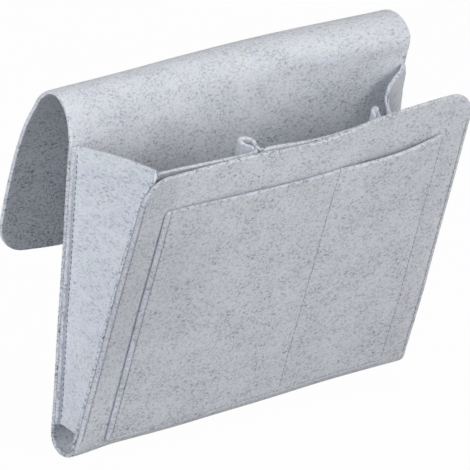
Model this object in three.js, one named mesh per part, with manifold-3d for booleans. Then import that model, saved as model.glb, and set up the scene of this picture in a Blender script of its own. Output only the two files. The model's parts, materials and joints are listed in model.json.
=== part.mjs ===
// Bedside caddy of thick felt that hangs on the side of a bed, in millimetres.
// X runs along the bed, Y points to the bed, Z points up.
// The origin is on the rear face of the back panel, in the middle of its width.
import * as THREE from 'three';
import { mergeVertices } from 'three/addons/utils/BufferGeometryUtils.js';
import Module from 'manifold-3d';

const wasm = await Module();
wasm.setup();

const degrees = THREE.MathUtils.degToRad;

// Felt and thread
const FELT = 3;
const GAP = 0.3;
const THREAD = 1;
const NEEDLE_HOLE = THREAD + 2 * GAP;

// Main sheet: tail, arch, back, bottom bend and front in one strip
const WIDTH = 320;
const BACK_HEIGHT = 231;
const MOUNT_HEIGHT = 115;
const BOTTOM_RADIUS = 15;
const FRONT_LEAN = degrees(13.7);
const FRONT_LENGTH = 232;
const FRONT_CORNER = 24;
const ARCH_RADIUS = 18.5;
const ARCH_TURN = degrees(158);
const TAIL_LENGTH = 132;
const TAIL_TURN = degrees(12);
const TAIL_CORNER = 26;

// Arch angles of the two lines where the flap folds
const FRONT_FOLD = degrees(45);
const REAR_FOLD = degrees(113);

// Gussets
const GUSSET_REAR_INSET = 7;
const GUSSET_FRONT_INSET = 12;
const GUSSET_BEND = 1;
const GUSSET_DROP = 5.5;
const GUSSET_LIFT = 7;
const GUSSET_DIP = 9;
const LEFT_BOW = 2;
const RIGHT_BOW = 24;

// Outer pocket on the front
const POCKET_WIDTH = 270;
const POCKET_HEIGHT = 193;
const POCKET_BOTTOM = 3;
const POCKET_CORNER = 4;
const POCKET_SPLIT = 31;
const POCKET_GAPE = 7;

// Inner panel with its two loops
const INNER_LIFT = 8;
const INNER_PROUD = 1.5;
const INNER_CORNER = 14;
const LOOP_LEFT = -48;
const LOOP_RIGHT = 72;
const LOOP_NECK_GAP = 0.6;
const LOOP_NECK = 2.5;
const LOOP_SPREAD = 5;
const LOOP_EYE = 4.2;
const LOOP_FOOT = 2.2;

// Rows of stitches
const SEAM_INSET = 2.6;
const SEAM_END = 5;

// Materials
const felt = new THREE.MeshStandardMaterial({ color: 0xc4c8d0, roughness: 0.95, metalness: 0 });
const thread = new THREE.MeshStandardMaterial({ color: 0x8c92a2, roughness: 0.7, metalness: 0 });

// Solid helpers
function toSolid(geometry) {
  const bare = geometry.clone();
  for (const name of Object.keys(bare.attributes)) {
    if (name !== 'position') bare.deleteAttribute(name);
  }
  const merged = mergeVertices(bare, 1e-4);
  const mesh = new wasm.Mesh({
    numProp: 3,
    vertProperties: new Float32Array(merged.attributes.position.array),
    triVerts: new Uint32Array(merged.index.array),
  });
  return new wasm.Manifold(mesh);
}

function toGeometry(solid) {
  const mesh = solid.getMesh();
  const geometry = new THREE.BufferGeometry();
  geometry.setAttribute('position', new THREE.BufferAttribute(new Float32Array(mesh.vertProperties), 3));
  geometry.setIndex(new THREE.BufferAttribute(new Uint32Array(mesh.triVerts), 1));
  geometry.computeVertexNormals();
  return geometry;
}

function cut(solid, cutters) {
  return cutters.reduce((rest, cutter) => rest.subtract(toSolid(cutter)), solid);
}

function box(low, high) {
  const size = high.map((value, axis) => value - low[axis]);
  const middle = high.map((value, axis) => (value + low[axis]) / 2);
  return new THREE.BoxGeometry(...size).translate(...middle);
}

// A path in the YZ plane, as points with the normal that leads from its own face to the other face.
// Each run has a length along the path and a turn in radians, positive toward +Z from +Y.
function trace(start, heading, side, runs) {
  let [y, z] = start;
  let angle = heading;
  const points = [];
  const add = () => points.push({ y, z, ny: side * Math.sin(angle), nz: -side * Math.cos(angle) });
  add();
  for (const { length, turn = 0, steps = 1 } of runs) {
    const half = turn / steps / 2;
    const chord = (length / steps) * (half === 0 ? 1 : Math.sin(half) / half);
    for (let step = 0; step < steps; step += 1) {
      y += chord * Math.cos(angle + half);
      z += chord * Math.sin(angle + half);
      angle += 2 * half;
      add();
    }
  }
  return points;
}

// A felt strip of full width whose section follows a traced path
function strip(points) {
  const near = points.map(({ y, z }) => new THREE.Vector2(y, z));
  const far = points.map(({ y, z, ny, nz }) => new THREE.Vector2(y + FELT * ny, z + FELT * nz));
  const section = new THREE.Shape([...near, ...far.reverse()]);
  const geometry = new THREE.ExtrudeGeometry(section, { depth: WIDTH, bevelEnabled: false });
  const across = new THREE.Matrix4().makeBasis(
    new THREE.Vector3(0, 1, 0),
    new THREE.Vector3(0, 0, 1),
    new THREE.Vector3(1, 0, 0),
  );
  return geometry.applyMatrix4(across).translate(-WIDTH / 2, 0, 0);
}

// A closed felt body between two grids of points, rows by columns
function sheet(rows, columns, nearPoint, farPoint) {
  const position = [];
  const index = [];
  const layer = rows * columns;
  for (const point of [nearPoint, farPoint]) {
    for (let row = 0; row < rows; row += 1) {
      for (let column = 0; column < columns; column += 1) {
        position.push(...point(row, column));
      }
    }
  }
  const quad = (a, b, c, d) => index.push(a, b, c, a, c, d);
  const at = (row, column) => row * columns + column;
  for (let row = 0; row + 1 < rows; row += 1) {
    for (let column = 0; column + 1 < columns; column += 1) {
      const [a, b] = [at(row, column), at(row, column + 1)];
      const [c, d] = [at(row + 1, column + 1), at(row + 1, column)];
      quad(d, c, b, a);
      quad(layer + a, layer + b, layer + c, layer + d);
    }
  }
  for (let row = 0; row + 1 < rows; row += 1) {
    const [a, d] = [at(row, 0), at(row + 1, 0)];
    const [b, c] = [at(row, columns - 1), at(row + 1, columns - 1)];
    quad(a, layer + a, layer + d, d);
    quad(c, layer + c, layer + b, b);
  }
  for (let column = 0; column + 1 < columns; column += 1) {
    const [a, b] = [at(0, column), at(0, column + 1)];
    const [d, c] = [at(rows - 1, column), at(rows - 1, column + 1)];
    quad(b, layer + b, layer + a, a);
    quad(d, layer + d, layer + c, c);
  }
  const geometry = new THREE.BufferGeometry();
  geometry.setAttribute('position', new THREE.Float32BufferAttribute(position, 3));
  geometry.setIndex(index);
  return geometry;
}

// A rectangle with two or four round corners, made solid along its normal
function roundedPlate(low, high, corner, lowerCorner, thickness) {
  const [x0, y0] = low;
  const [x1, y1] = high;
  const outline = new THREE.Shape();
  outline.moveTo(x0 + lowerCorner, y0);
  outline.lineTo(x1 - lowerCorner, y0);
  if (lowerCorner) outline.absarc(x1 - lowerCorner, y0 + lowerCorner, lowerCorner, -Math.PI / 2, 0);
  outline.lineTo(x1, y1 - corner);
  if (corner) outline.absarc(x1 - corner, y1 - corner, corner, 0, Math.PI / 2);
  outline.lineTo(x0 + corner, y1);
  if (corner) outline.absarc(x0 + corner, y1 - corner, corner, Math.PI / 2, Math.PI);
  outline.lineTo(x0, y0 + lowerCorner);
  if (lowerCorner) outline.absarc(x0 + lowerCorner, y0 + lowerCorner, lowerCorner, Math.PI, 1.5 * Math.PI);
  return new THREE.ExtrudeGeometry(outline, { depth: thickness, bevelEnabled: false, curveSegments: 8 });
}

// Section of the main sheet
const bottomZ = -MOUNT_HEIGHT;
const archZ = bottomZ + BACK_HEIGHT;
const bendTurn = Math.PI - FRONT_LEAN;
const archGap = GAP / 2 / ARCH_RADIUS;
const bendGap = GAP / 2 / (BOTTOM_RADIUS - FELT);

function archRun(from, to) {
  return { length: ARCH_RADIUS * (to - from), turn: from - to, steps: 6 };
}

function archPoint(angle) {
  return [ARCH_RADIUS * (1 - Math.cos(angle)), archZ + ARCH_RADIUS * Math.sin(angle)];
}

function bendRun(from, to) {
  return { length: BOTTOM_RADIUS * (to - from), turn: from - to, steps: 8 };
}

function bendPoint(angle) {
  return [-BOTTOM_RADIUS * (1 - Math.cos(angle)), bottomZ - BOTTOM_RADIUS * Math.sin(angle)];
}

const UP = Math.PI / 2;
const upperBack = trace([0, archZ], UP, -1, [archRun(0, FRONT_FOLD - archGap)]);
const lowerBack = trace([0, bottomZ], -UP, 1, [bendRun(0, bendTurn / 2 - bendGap)]);
const backPath = [...upperBack.reverse(), ...lowerBack];
const crownStart = FRONT_FOLD + archGap;
const crownEnd = REAR_FOLD - archGap;
const crownPath = trace(archPoint(crownStart), UP - crownStart, -1, [archRun(crownStart, crownEnd)]);
const tailStart = REAR_FOLD + archGap;
const tailPath = trace(archPoint(tailStart), UP - tailStart, -1, [
  archRun(tailStart, ARCH_TURN),
  { length: TAIL_LENGTH, turn: -TAIL_TURN, steps: 8 },
]);
const frontStart = bendTurn / 2 + bendGap;
const frontPath = trace(bendPoint(frontStart), -UP - frontStart, 1, [
  bendRun(frontStart, bendTurn),
  { length: FRONT_LENGTH },
]);

// Frames in which a flat panel is drawn: X across, Y up along the panel, Z out of its outer face
const [frontY, frontZ] = bendPoint(bendTurn);
const frontFrame = new THREE.Matrix4()
  .makeBasis(
    new THREE.Vector3(1, 0, 0),
    new THREE.Vector3(0, -Math.sin(FRONT_LEAN), Math.cos(FRONT_LEAN)),
    new THREE.Vector3(0, -Math.cos(FRONT_LEAN), -Math.sin(FRONT_LEAN)),
  )
  .setPosition(0, frontY, frontZ);
const backFrame = new THREE.Matrix4().makeRotationX(UP);

// Gusset limits
const frontTopZ = frontZ + FRONT_LENGTH * Math.cos(FRONT_LEAN);
const gussetTop = frontTopZ - GUSSET_DROP;
const gussetBottom = bottomZ + GUSSET_LIFT;

function frontInside(z) {
  return frontY - (z - frontZ) * Math.tan(FRONT_LEAN) + (FELT + GAP) / Math.cos(FRONT_LEAN);
}

function alongFront(z) {
  return (z - frontZ - (FELT + GAP) * Math.sin(FRONT_LEAN)) / Math.cos(FRONT_LEAN);
}

// How far the round top corner of the front panel draws its edge in at a height
function cornerDraw(z) {
  const reach = FRONT_CORNER - (FRONT_LENGTH - alongFront(z));
  return reach > 0 ? FRONT_CORNER - Math.sqrt(Math.max(FRONT_CORNER ** 2 - reach ** 2, 0)) : 0;
}

// Plan of a gusset at one height: rear flange, wall and front flange, on the side that meets the panels
const BEND_STEPS = 4;
const WALL_STEPS = 12;
function gussetPlan(z, bow) {
  const rear = -FELT - GAP;
  const front = frontInside(z);
  const bend = GUSSET_BEND + FELT;
  const rearX = WIDTH / 2 - GUSSET_REAR_INSET;
  const frontX = WIDTH / 2 - GUSSET_FRONT_INSET;
  const wall = rear - front - 2 * bend;
  const swell = bow * THREE.MathUtils.clamp((z - gussetBottom) / (gussetTop - gussetBottom), 0, 1) ** 1.5;
  const plan = [[WIDTH / 2, rear]];
  for (let step = 0; step <= BEND_STEPS; step += 1) {
    const angle = (UP * step) / BEND_STEPS;
    plan.push([rearX + bend * (1 - Math.sin(angle)), rear - bend * (1 - Math.cos(angle))]);
  }
  for (let step = 1; step < WALL_STEPS; step += 1) {
    const share = step / WALL_STEPS;
    const wallX = THREE.MathUtils.lerp(rearX, frontX, share);
    plan.push([wallX - swell * Math.sin(Math.PI * share) ** 2, rear - bend - wall * share]);
  }
  for (let step = 0; step <= BEND_STEPS; step += 1) {
    const angle = (UP * step) / BEND_STEPS;
    plan.push([frontX + bend * (1 - Math.cos(angle)), front + bend * (1 - Math.sin(angle))]);
  }
  plan.push([WIDTH / 2 - cornerDraw(z), front]);
  return plan;
}

// The same outline moved by one felt thickness to its left hand
function offsetLeft(plan, distance) {
  return plan.map(([x, y], i) => {
    const [ax, ay] = plan[Math.max(i - 1, 0)];
    const [bx, by] = plan[Math.min(i + 1, plan.length - 1)];
    const length = Math.hypot(bx - ax, by - ay);
    return [x - (distance * (by - ay)) / length, y + (distance * (bx - ax)) / length];
  });
}

// A gusset has a level upper edge and a lower edge that dips toward the front
function gusset(side, bow) {
  const straightTop = gussetTop - FRONT_CORNER;
  const levels = [];
  for (let step = 0; step <= 5; step += 1) {
    levels.push(THREE.MathUtils.lerp(gussetBottom, straightTop, step / 5));
  }
  for (let step = 1; step <= 5; step += 1) {
    levels.push(THREE.MathUtils.lerp(straightTop, gussetTop, step / 5));
  }
  const columns = gussetPlan(gussetTop, bow).length;
  const height = (row, column) => {
    const below = (gussetTop - levels[row]) / (gussetTop - gussetBottom);
    return levels[row] - (GUSSET_DIP * below * column) / (columns - 1);
  };
  const spot = (distance) => (row, column) => {
    const z = height(row, column);
    const [x, y] = offsetLeft(gussetPlan(z, bow), distance)[column];
    return [side * x, y, z];
  };
  const [first, second] = side > 0 ? [FELT, 0] : [0, FELT];
  return sheet(levels.length, columns, spot(first), spot(second));
}

// A row of lockstitch as one long loop of thread through two needle holes, in a panel's frame.
// The stack is the range of heights that the loop clasps.
function seam(frame, axis, at, from, to, stack) {
  const half = THREAD / 2;
  const low = stack[0] - GAP;
  const high = stack[1] + GAP;
  const spot = (across, along, out) => (axis === 'up' ? [across, along, out] : [along, across, out]);
  const outer = box(spot(at - half, from - half, low - THREAD), spot(at + half, to + half, high + THREAD));
  const inner = box(spot(at - THREAD, from + half, low), spot(at + THREAD, to - half, high));
  const reach = NEEDLE_HOLE / 2;
  const holes = [from, to].map((end) =>
    box(spot(at - reach, end - reach, low - THREAD), spot(at + reach, end + reach, high + THREAD)),
  );
  const loop = toGeometry(toSolid(outer).subtract(toSolid(inner)));
  return {
    thread: loop.applyMatrix4(frame),
    holes: holes.map((hole) => hole.applyMatrix4(frame)),
  };
}

const seamX = WIDTH / 2 - SEAM_INSET;
const backStack = [0, 2 * FELT + GAP];
const frontStack = [-2 * FELT - GAP, 0];
const backSeam = (side) =>
  seam(backFrame, 'up', side * seamX, gussetBottom + SEAM_END, gussetTop - SEAM_END, backStack);
const frontSeam = (side) =>
  seam(
    frontFrame,
    'up',
    side * seamX,
    alongFront(gussetBottom - GUSSET_DIP) + SEAM_END,
    FRONT_LENGTH - FRONT_CORNER - SEAM_END,
    frontStack,
  );

// Pocket rows: the side and middle rows also hold the inner panel
const pocketTop = POCKET_BOTTOM + POCKET_HEIGHT;
const pocketRowX = POCKET_WIDTH / 2 - SEAM_INSET;
const innerBottom = POCKET_BOTTOM + INNER_LIFT;
const pocketStack = [-2 * FELT - GAP, FELT + GAP];
const pocketSeam = (x) =>
  seam(frontFrame, 'up', x, innerBottom + SEAM_END, pocketTop - SEAM_END, pocketStack);
const pocketBottomSeam = seam(
  frontFrame,
  'across',
  POCKET_BOTTOM + SEAM_INSET,
  -pocketRowX,
  pocketRowX,
  [-FELT, FELT + GAP],
);

const seams = {
  back_seam_left: backSeam(-1),
  back_seam_right: backSeam(1),
  front_seam_left: frontSeam(-1),
  front_seam_right: frontSeam(1),
  pocket_seam_left: pocketSeam(-pocketRowX),
  pocket_seam_right: pocketSeam(pocketRowX),
  pocket_seam_middle: pocketSeam(POCKET_SPLIT),
  pocket_seam_bottom: pocketBottomSeam,
};

// Outer pocket, flat on its rows and gaping toward its mouth between them
function pocketGape(x, y) {
  const [low, high] = x < POCKET_SPLIT ? [-pocketRowX, POCKET_SPLIT] : [POCKET_SPLIT, pocketRowX];
  const share = THREE.MathUtils.clamp((x - low) / (high - low), 0, 1);
  const rise = THREE.MathUtils.clamp((y - POCKET_BOTTOM) / POCKET_HEIGHT, 0, 1);
  return POCKET_GAPE * Math.sin(Math.PI * share) * rise ** 1.5;
}

function frontPocket() {
  const half = POCKET_WIDTH / 2;
  const across = [-half];
  for (const [low, high] of [[-pocketRowX, POCKET_SPLIT], [POCKET_SPLIT, pocketRowX]]) {
    for (let step = 0; step < 10; step += 1) {
      across.push(THREE.MathUtils.lerp(low, high, step / 10));
    }
  }
  across.push(pocketRowX, half);
  const rows = 9;
  const up = (row) => THREE.MathUtils.lerp(POCKET_BOTTOM, pocketTop, row / (rows - 1));
  const spot = (out) => (row, column) => {
    const x = across[column];
    return [x, up(row), GAP + out + pocketGape(x, up(row))];
  };
  const slab = sheet(rows, across.length, spot(0), spot(FELT));
  const depth = GAP + FELT + POCKET_GAPE;
  const plate = roundedPlate([-half, POCKET_BOTTOM], [half, pocketTop], POCKET_CORNER, POCKET_CORNER, 2 * depth);
  return toSolid(slab).intersect(toSolid(plate.translate(0, 0, -depth / 2)));
}

// Inner panel: a strip along the front's inner face with two loops that stand out of it.
// The plan runs in X and in depth behind the inner face.
const loopHalf = (FELT + LOOP_NECK_GAP) / 2;
const loopFootDepth = GAP + FELT / 2 + LOOP_FOOT;
const loopEyeRadius = LOOP_EYE + FELT / 2;
const loopEyeDepth = loopFootDepth + LOOP_NECK + LOOP_SPREAD;

function loopPlan(x) {
  const left = [];
  for (let step = 0; step <= 4; step += 1) {
    const angle = (UP * step) / 4;
    const back = LOOP_FOOT * (1 - Math.sin(angle));
    left.push([-loopHalf - back, loopFootDepth - LOOP_FOOT * Math.cos(angle)]);
  }
  left.push([-loopHalf, loopFootDepth + LOOP_NECK]);
  for (let step = 1; step < 5; step += 1) {
    const share = THREE.MathUtils.smoothstep(step / 5, 0, 1);
    const spread = THREE.MathUtils.lerp(loopHalf, loopEyeRadius, share);
    left.push([-spread, loopFootDepth + LOOP_NECK + (LOOP_SPREAD * step) / 5]);
  }
  const tip = [];
  for (let step = 0; step <= 12; step += 1) {
    const angle = Math.PI * (1 - step / 12);
    tip.push([loopEyeRadius * Math.cos(angle), loopEyeDepth + loopEyeRadius * Math.sin(angle)]);
  }
  const right = left.map(([px, depth]) => [-px, depth]).reverse();
  return [...left, ...tip, ...right].map(([px, depth]) => [x + px, depth]);
}

function innerPanel() {
  const end = WIDTH / 2 - GUSSET_FRONT_INSET - GAP;
  const flat = GAP + FELT / 2;
  const plan = [[-end, flat], ...loopPlan(LOOP_LEFT), ...loopPlan(LOOP_RIGHT), [end, flat]];
  const front = offsetLeft(plan, -FELT / 2);
  const rear = offsetLeft(plan, FELT / 2);
  const up = [innerBottom, FRONT_LENGTH + INNER_PROUD];
  const spot = (grid) => (row, column) => [grid[column][0], up[row], -FELT - grid[column][1]];
  const slab = sheet(2, plan.length, spot(rear), spot(front));
  const depth = 2 * (FELT + loopEyeDepth + loopEyeRadius + FELT);
  const plate = roundedPlate([-end, up[0]], [end, up[1]], INNER_CORNER, 0, depth);
  return toSolid(slab).intersect(toSolid(plate.translate(0, 0, -depth)));
}

// The row that joins the two legs of a loop, a ring that lies across the legs
function loopSeam(x) {
  const half = THREAD / 2;
  const depth = -FELT - loopFootDepth - LOOP_NECK / 2;
  const stack = loopHalf + FELT / 2 + GAP;
  const low = innerBottom + SEAM_END;
  const high = FRONT_LENGTH + INNER_PROUD - SEAM_END;
  const outer = box(
    [x - stack - THREAD, low - half, depth - half],
    [x + stack + THREAD, high + half, depth + half],
  );
  const inner = box([x - stack, low + half, depth - THREAD], [x + stack, high - half, depth + THREAD]);
  const reach = NEEDLE_HOLE / 2;
  const holes = [low, high].map((end) =>
    box([x - stack, end - reach, depth - reach], [x + stack, end + reach, depth + reach]),
  );
  return { thread: toGeometry(toSolid(outer).subtract(toSolid(inner))), holes };
}

const loopSeams = { loop_seam_left: loopSeam(LOOP_LEFT), loop_seam_right: loopSeam(LOOP_RIGHT) };

// Panels with round corners and needle holes
function holesOf(...names) {
  return names.flatMap((name) => seams[name].holes);
}

function backPanel() {
  return cut(toSolid(strip(backPath)), holesOf('back_seam_left', 'back_seam_right'));
}

function frontPanel() {
  const reach = 2 * BOTTOM_RADIUS;
  const plate = roundedPlate([-WIDTH / 2, -reach], [WIDTH / 2, FRONT_LENGTH], FRONT_CORNER, 0, 4 * reach);
  plate.translate(0, 0, -2 * reach).applyMatrix4(frontFrame);
  const rows = Object.keys(seams).filter((name) => !name.startsWith('back'));
  return cut(toSolid(strip(frontPath)).intersect(toSolid(plate)), holesOf(...rows));
}

function flapTail() {
  const lowest = tailPath[tailPath.length - 1].z;
  const reach = TAIL_LENGTH + 2 * ARCH_RADIUS;
  const plate = roundedPlate([-WIDTH / 2, lowest], [WIDTH / 2, archZ + reach], 0, TAIL_CORNER, 2 * reach);
  const upright = plate.rotateX(UP).translate(0, 1.5 * reach, 0);
  return toSolid(strip(tailPath)).intersect(toSolid(upright));
}

function sewnGusset(side, bow, name) {
  return cut(toSolid(gusset(side, bow)), holesOf(`back_seam_${name}`, `front_seam_${name}`));
}

function flatHoles(...names) {
  const home = frontFrame.clone().invert();
  return holesOf(...names).map((hole) => hole.clone().applyMatrix4(home));
}

// Assembly: the upright pieces, and a group for the pieces that lie along the leaning front
const caddy = new THREE.Group();
const leaning = new THREE.Group();
leaning.applyMatrix4(frontFrame);
caddy.add(leaning);

function place(parent, name, geometry, material) {
  const mesh = new THREE.Mesh(geometry, material);
  mesh.name = name;
  parent.add(mesh);
}

place(caddy, 'back_panel', toGeometry(backPanel()), felt);
place(caddy, 'flap_crown', strip(crownPath), felt);
place(caddy, 'flap_tail', toGeometry(flapTail()), felt);
place(caddy, 'front_panel', toGeometry(frontPanel()), felt);
place(caddy, 'left_gusset', toGeometry(sewnGusset(-1, LEFT_BOW, 'left')), felt);
place(caddy, 'right_gusset', toGeometry(sewnGusset(1, RIGHT_BOW, 'right')), felt);

const pocketRows = ['pocket_seam_left', 'pocket_seam_right', 'pocket_seam_middle'];
const pocketHoles = flatHoles(...pocketRows, 'pocket_seam_bottom');
place(leaning, 'front_pocket', toGeometry(cut(frontPocket(), pocketHoles)), felt);
const loopHoles = Object.values(loopSeams).flatMap(({ holes }) => holes);
const innerHoles = [...flatHoles(...pocketRows), ...loopHoles];
place(leaning, 'inner_panel', toGeometry(cut(innerPanel(), innerHoles)), felt);

for (const [name, row] of Object.entries(seams)) {
  place(caddy, name, row.thread, thread);
}
for (const [name, row] of Object.entries(loopSeams)) {
  place(leaning, name, row.thread, thread);
}

export default caddy;
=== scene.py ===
# %% [markdown]
# # Bedside caddy
# A soft caddy of thick grey felt that hangs over the side of a bed. One long felt sheet makes the flap, the
# back, the round bottom and the front. Two gussets close the sides, a flat pocket is sewn on the front, and
# an inner panel with two loops stands behind the front. Everything is in metres, in the frame of the solids:
# X along the bed, Y toward the bed, Z up, with the origin on the rear face of the back.

# %% Setup
import json
import math

import bmesh
import bpy
import numpy as np
from mathutils import Matrix, Vector

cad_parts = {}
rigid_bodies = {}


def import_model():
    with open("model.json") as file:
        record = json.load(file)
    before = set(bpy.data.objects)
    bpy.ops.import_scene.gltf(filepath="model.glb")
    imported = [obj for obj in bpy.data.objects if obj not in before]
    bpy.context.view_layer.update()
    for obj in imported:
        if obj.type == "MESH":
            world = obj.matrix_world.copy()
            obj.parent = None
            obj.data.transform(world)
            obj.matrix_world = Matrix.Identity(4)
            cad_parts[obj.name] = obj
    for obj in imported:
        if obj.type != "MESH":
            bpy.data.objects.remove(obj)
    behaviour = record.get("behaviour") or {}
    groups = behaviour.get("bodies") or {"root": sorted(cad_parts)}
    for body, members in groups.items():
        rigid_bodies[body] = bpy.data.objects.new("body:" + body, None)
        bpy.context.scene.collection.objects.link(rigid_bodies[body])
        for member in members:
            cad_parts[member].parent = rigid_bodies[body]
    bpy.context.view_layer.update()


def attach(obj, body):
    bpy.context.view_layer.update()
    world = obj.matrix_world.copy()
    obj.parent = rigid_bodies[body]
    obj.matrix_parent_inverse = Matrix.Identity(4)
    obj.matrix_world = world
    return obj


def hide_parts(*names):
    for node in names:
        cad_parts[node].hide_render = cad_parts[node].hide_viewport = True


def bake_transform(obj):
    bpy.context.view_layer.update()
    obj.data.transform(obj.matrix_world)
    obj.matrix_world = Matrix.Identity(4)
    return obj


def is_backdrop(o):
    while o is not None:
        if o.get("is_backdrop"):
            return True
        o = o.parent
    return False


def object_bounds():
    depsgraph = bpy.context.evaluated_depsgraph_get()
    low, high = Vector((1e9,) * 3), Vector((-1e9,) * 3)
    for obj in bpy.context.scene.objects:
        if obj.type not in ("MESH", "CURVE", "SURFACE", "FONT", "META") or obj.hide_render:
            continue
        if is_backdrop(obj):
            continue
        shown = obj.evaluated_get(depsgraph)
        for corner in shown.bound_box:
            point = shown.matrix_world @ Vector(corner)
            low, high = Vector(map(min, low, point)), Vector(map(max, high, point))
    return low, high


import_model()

# %% [markdown]
# ## Sizes
# The sizes repeat those of the solids, because each visible piece lies where its solid lies. Only those that
# several pieces need stand here. The others come with the piece that they belong to.

# %% Sizes that several pieces need
MM = 0.001
FELT = 3 * MM
HALF = FELT / 2
GAP = 0.3 * MM
EDGE = 0.8 * MM
WIDTH = 320 * MM
BOTTOM_Z = -115 * MM
BOTTOM_RADIUS = 15 * MM
ARCH_Z = 116 * MM
GUSSET_TOP = 101.35 * MM
LEAN = math.radians(13.7)
TURN = math.pi - LEAN
FRONT_Y = -BOTTOM_RADIUS * (1 - math.cos(TURN))
FRONT_Z = BOTTOM_Z - BOTTOM_RADIUS * math.sin(TURN)
SEAM_INSET = 3 * MM
SEAM_X = WIDTH / 2 - SEAM_INSET
PITCH = 4 * MM
print(f"felt {FELT / MM:.0f} mm thick, front starts at Y {FRONT_Y / MM:.1f} mm, Z {FRONT_Z / MM:.1f} mm")

# %% [markdown]
# ## Camera
# The photograph is taken from the left and a little above with a long lens, and the picture leans a little.
# A camera can be turned by hand until it fits, but here its angles were solved from the straight edges of the
# panels. So the code only puts one known point of the caddy on the pixel where the photograph shows it.

# %% Camera
AZIMUTH = math.radians(-44.25)
ELEVATION = math.radians(19.9)
ROLL = math.radians(3.76)
PIXELS = 470
PIXELS_PER_METRE = 1402.8
DISTANCE = 14.0
SENSOR = 36
KNOWN_POINT = Vector((0, 0, GUSSET_TOP))
KNOWN_PIXEL = (232.8, 103.05)

back = Vector(
    (
        math.sin(AZIMUTH) * math.cos(ELEVATION),
        -math.cos(AZIMUTH) * math.cos(ELEVATION),
        math.sin(ELEVATION),
    )
)
level_right = Vector((math.cos(AZIMUTH), math.sin(AZIMUTH), 0))
level_up = back.cross(level_right)
right = level_right * math.cos(ROLL) + level_up * math.sin(ROLL)
up = level_up * math.cos(ROLL) - level_right * math.sin(ROLL)
target = KNOWN_POINT + right * ((PIXELS / 2 - KNOWN_PIXEL[0]) / PIXELS_PER_METRE)
target += up * ((KNOWN_PIXEL[1] - PIXELS / 2) / PIXELS_PER_METRE)

camera_data = bpy.data.cameras.new("camera")
camera_data.sensor_width = SENSOR
camera_data.lens = SENSOR * DISTANCE * PIXELS_PER_METRE / PIXELS
camera_data.clip_end = 100
camera = bpy.data.objects.new("camera", camera_data)
bpy.context.scene.collection.objects.link(camera)
turn = Matrix((right, up, back)).transposed().to_4x4()
camera.matrix_world = Matrix.Translation(target + back * DISTANCE) @ turn
bpy.context.scene.camera = camera
bpy.context.scene.view_settings.view_transform = "Standard"
print(f"camera {DISTANCE:.0f} m away with a lens of {camera_data.lens:.0f} mm")

# %% [markdown]
# ## Small bends of the whole caddy
# Real felt is never quite flat: the right end of the back stands forward, the front bellies out between the
# gussets, the flap hangs a little forward and bows at its left end. Such bends could be painted with sculpt
# brushes or come from a lattice. Here one function moves every point of every piece, so that neighbours move
# together and stay clear of each other. Each bend is a soft curve through a few measured places.


# %% Ramps and curves
def unit(vectors):
    return vectors / np.maximum(np.linalg.norm(vectors, axis=-1, keepdims=True), 1e-12)


def ramp(values, start, stop):
    """Goes from 0 at start to 1 at stop. start and stop are in millimetres, values in metres."""
    return np.clip((values / MM - start) / (stop - start), 0, 1)


def curve(values, places, heights, blur=14):
    """A smooth curve through rounded corners: places and heights in millimetres, values in metres."""
    reach = 260
    fine = np.arange(-reach, reach + 1)
    rough = np.interp(fine, places, heights)
    margin = 60
    window = np.exp(-0.5 * (np.arange(-margin, margin + 1) / blur) ** 2)
    padded = np.pad(rough, margin, mode="edge")
    smooth = np.convolve(padded, window / window.sum(), mode="valid")
    return np.interp(values / MM, fine, smooth) * MM


print(f"a ramp from 0 to 8 mm is {ramp(2 * MM, 0, 8):.2f} at 2 mm")

# %% Places and heights of the bends
# Each curve: places along one axis and how far the felt moves there, both in millimetres, and sometimes how
# soft its corners are. The back's twist is the share of its way forward that shows at each height.
BACK_TWIST = ((-120, 40, 95, 122, 160), (0, 0.2, 0.42, 0.7, 0.7), 8)
BACK_FORWARD = ((-160, 10, 60, 110, 160), (0, 0, -1.6, -5.2, -11.0))
FRONT_BELLY = ((-160, -60, 15, 70, 160), (2.6, 2.6, 5.6, 2.6, 2.4))
FRONT_RIGHT_OUT = ((-160, 40, 160), (0, 0, 2.6))
FRONT_LOW_RISE = ((-160, -140, -60, 31, 80, 135, 160), (0, -1.2, -1.0, 1.4, 3.0, 3.8, 3.8))
FRONT_HIGH_RISE = ((-160, -60, 10, 35, 65, 100, 160), (0, -0.8, -1.6, -0.8, 1.8, 3.6, 5.0))
BOTTOM_FLAT = ((-160, -148, -125, 160), (0, 0.4, 3.8, 3.8), 8)
ARCH_DROP = ((-160, -60, 20, 90, 160), (1.6, 1.6, 0.3, 0.6, 1.2))
ARCH_LEAN = ((-160, 104, 112, 120, 130, 137, 160), (0, 0, 1.5, 3.6, 4.0, 1.5, 0), 2.5)
TAIL_DROP = ((-160, -140, -95, 160), (-2.3, -0.8, 4.1, 4.8))
TAIL_BOW = ((0, 24, 50, 75, 98, 112, 120, 132), (-1.2, -1.2, 0, 1.2, 1.3, 0, -1.8, -2), 4)
TAIL_FORWARD = 4 * MM
PANEL_HEIGHT = 220 * MM
LEAST_DEPTH = 20 * MM
WAVE = 0.35 * MM
FRONT_RIGHT_IN = 2.3 * MM
FLAP_RIGHT_OUT = 3 * MM
ARCH_RIGHT_OUT = 2.4 * MM
LEFT_IN = 0.6 * MM
print(f"the tail hangs {TAIL_FORWARD / MM:.0f} mm further forward than its solid")


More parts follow.
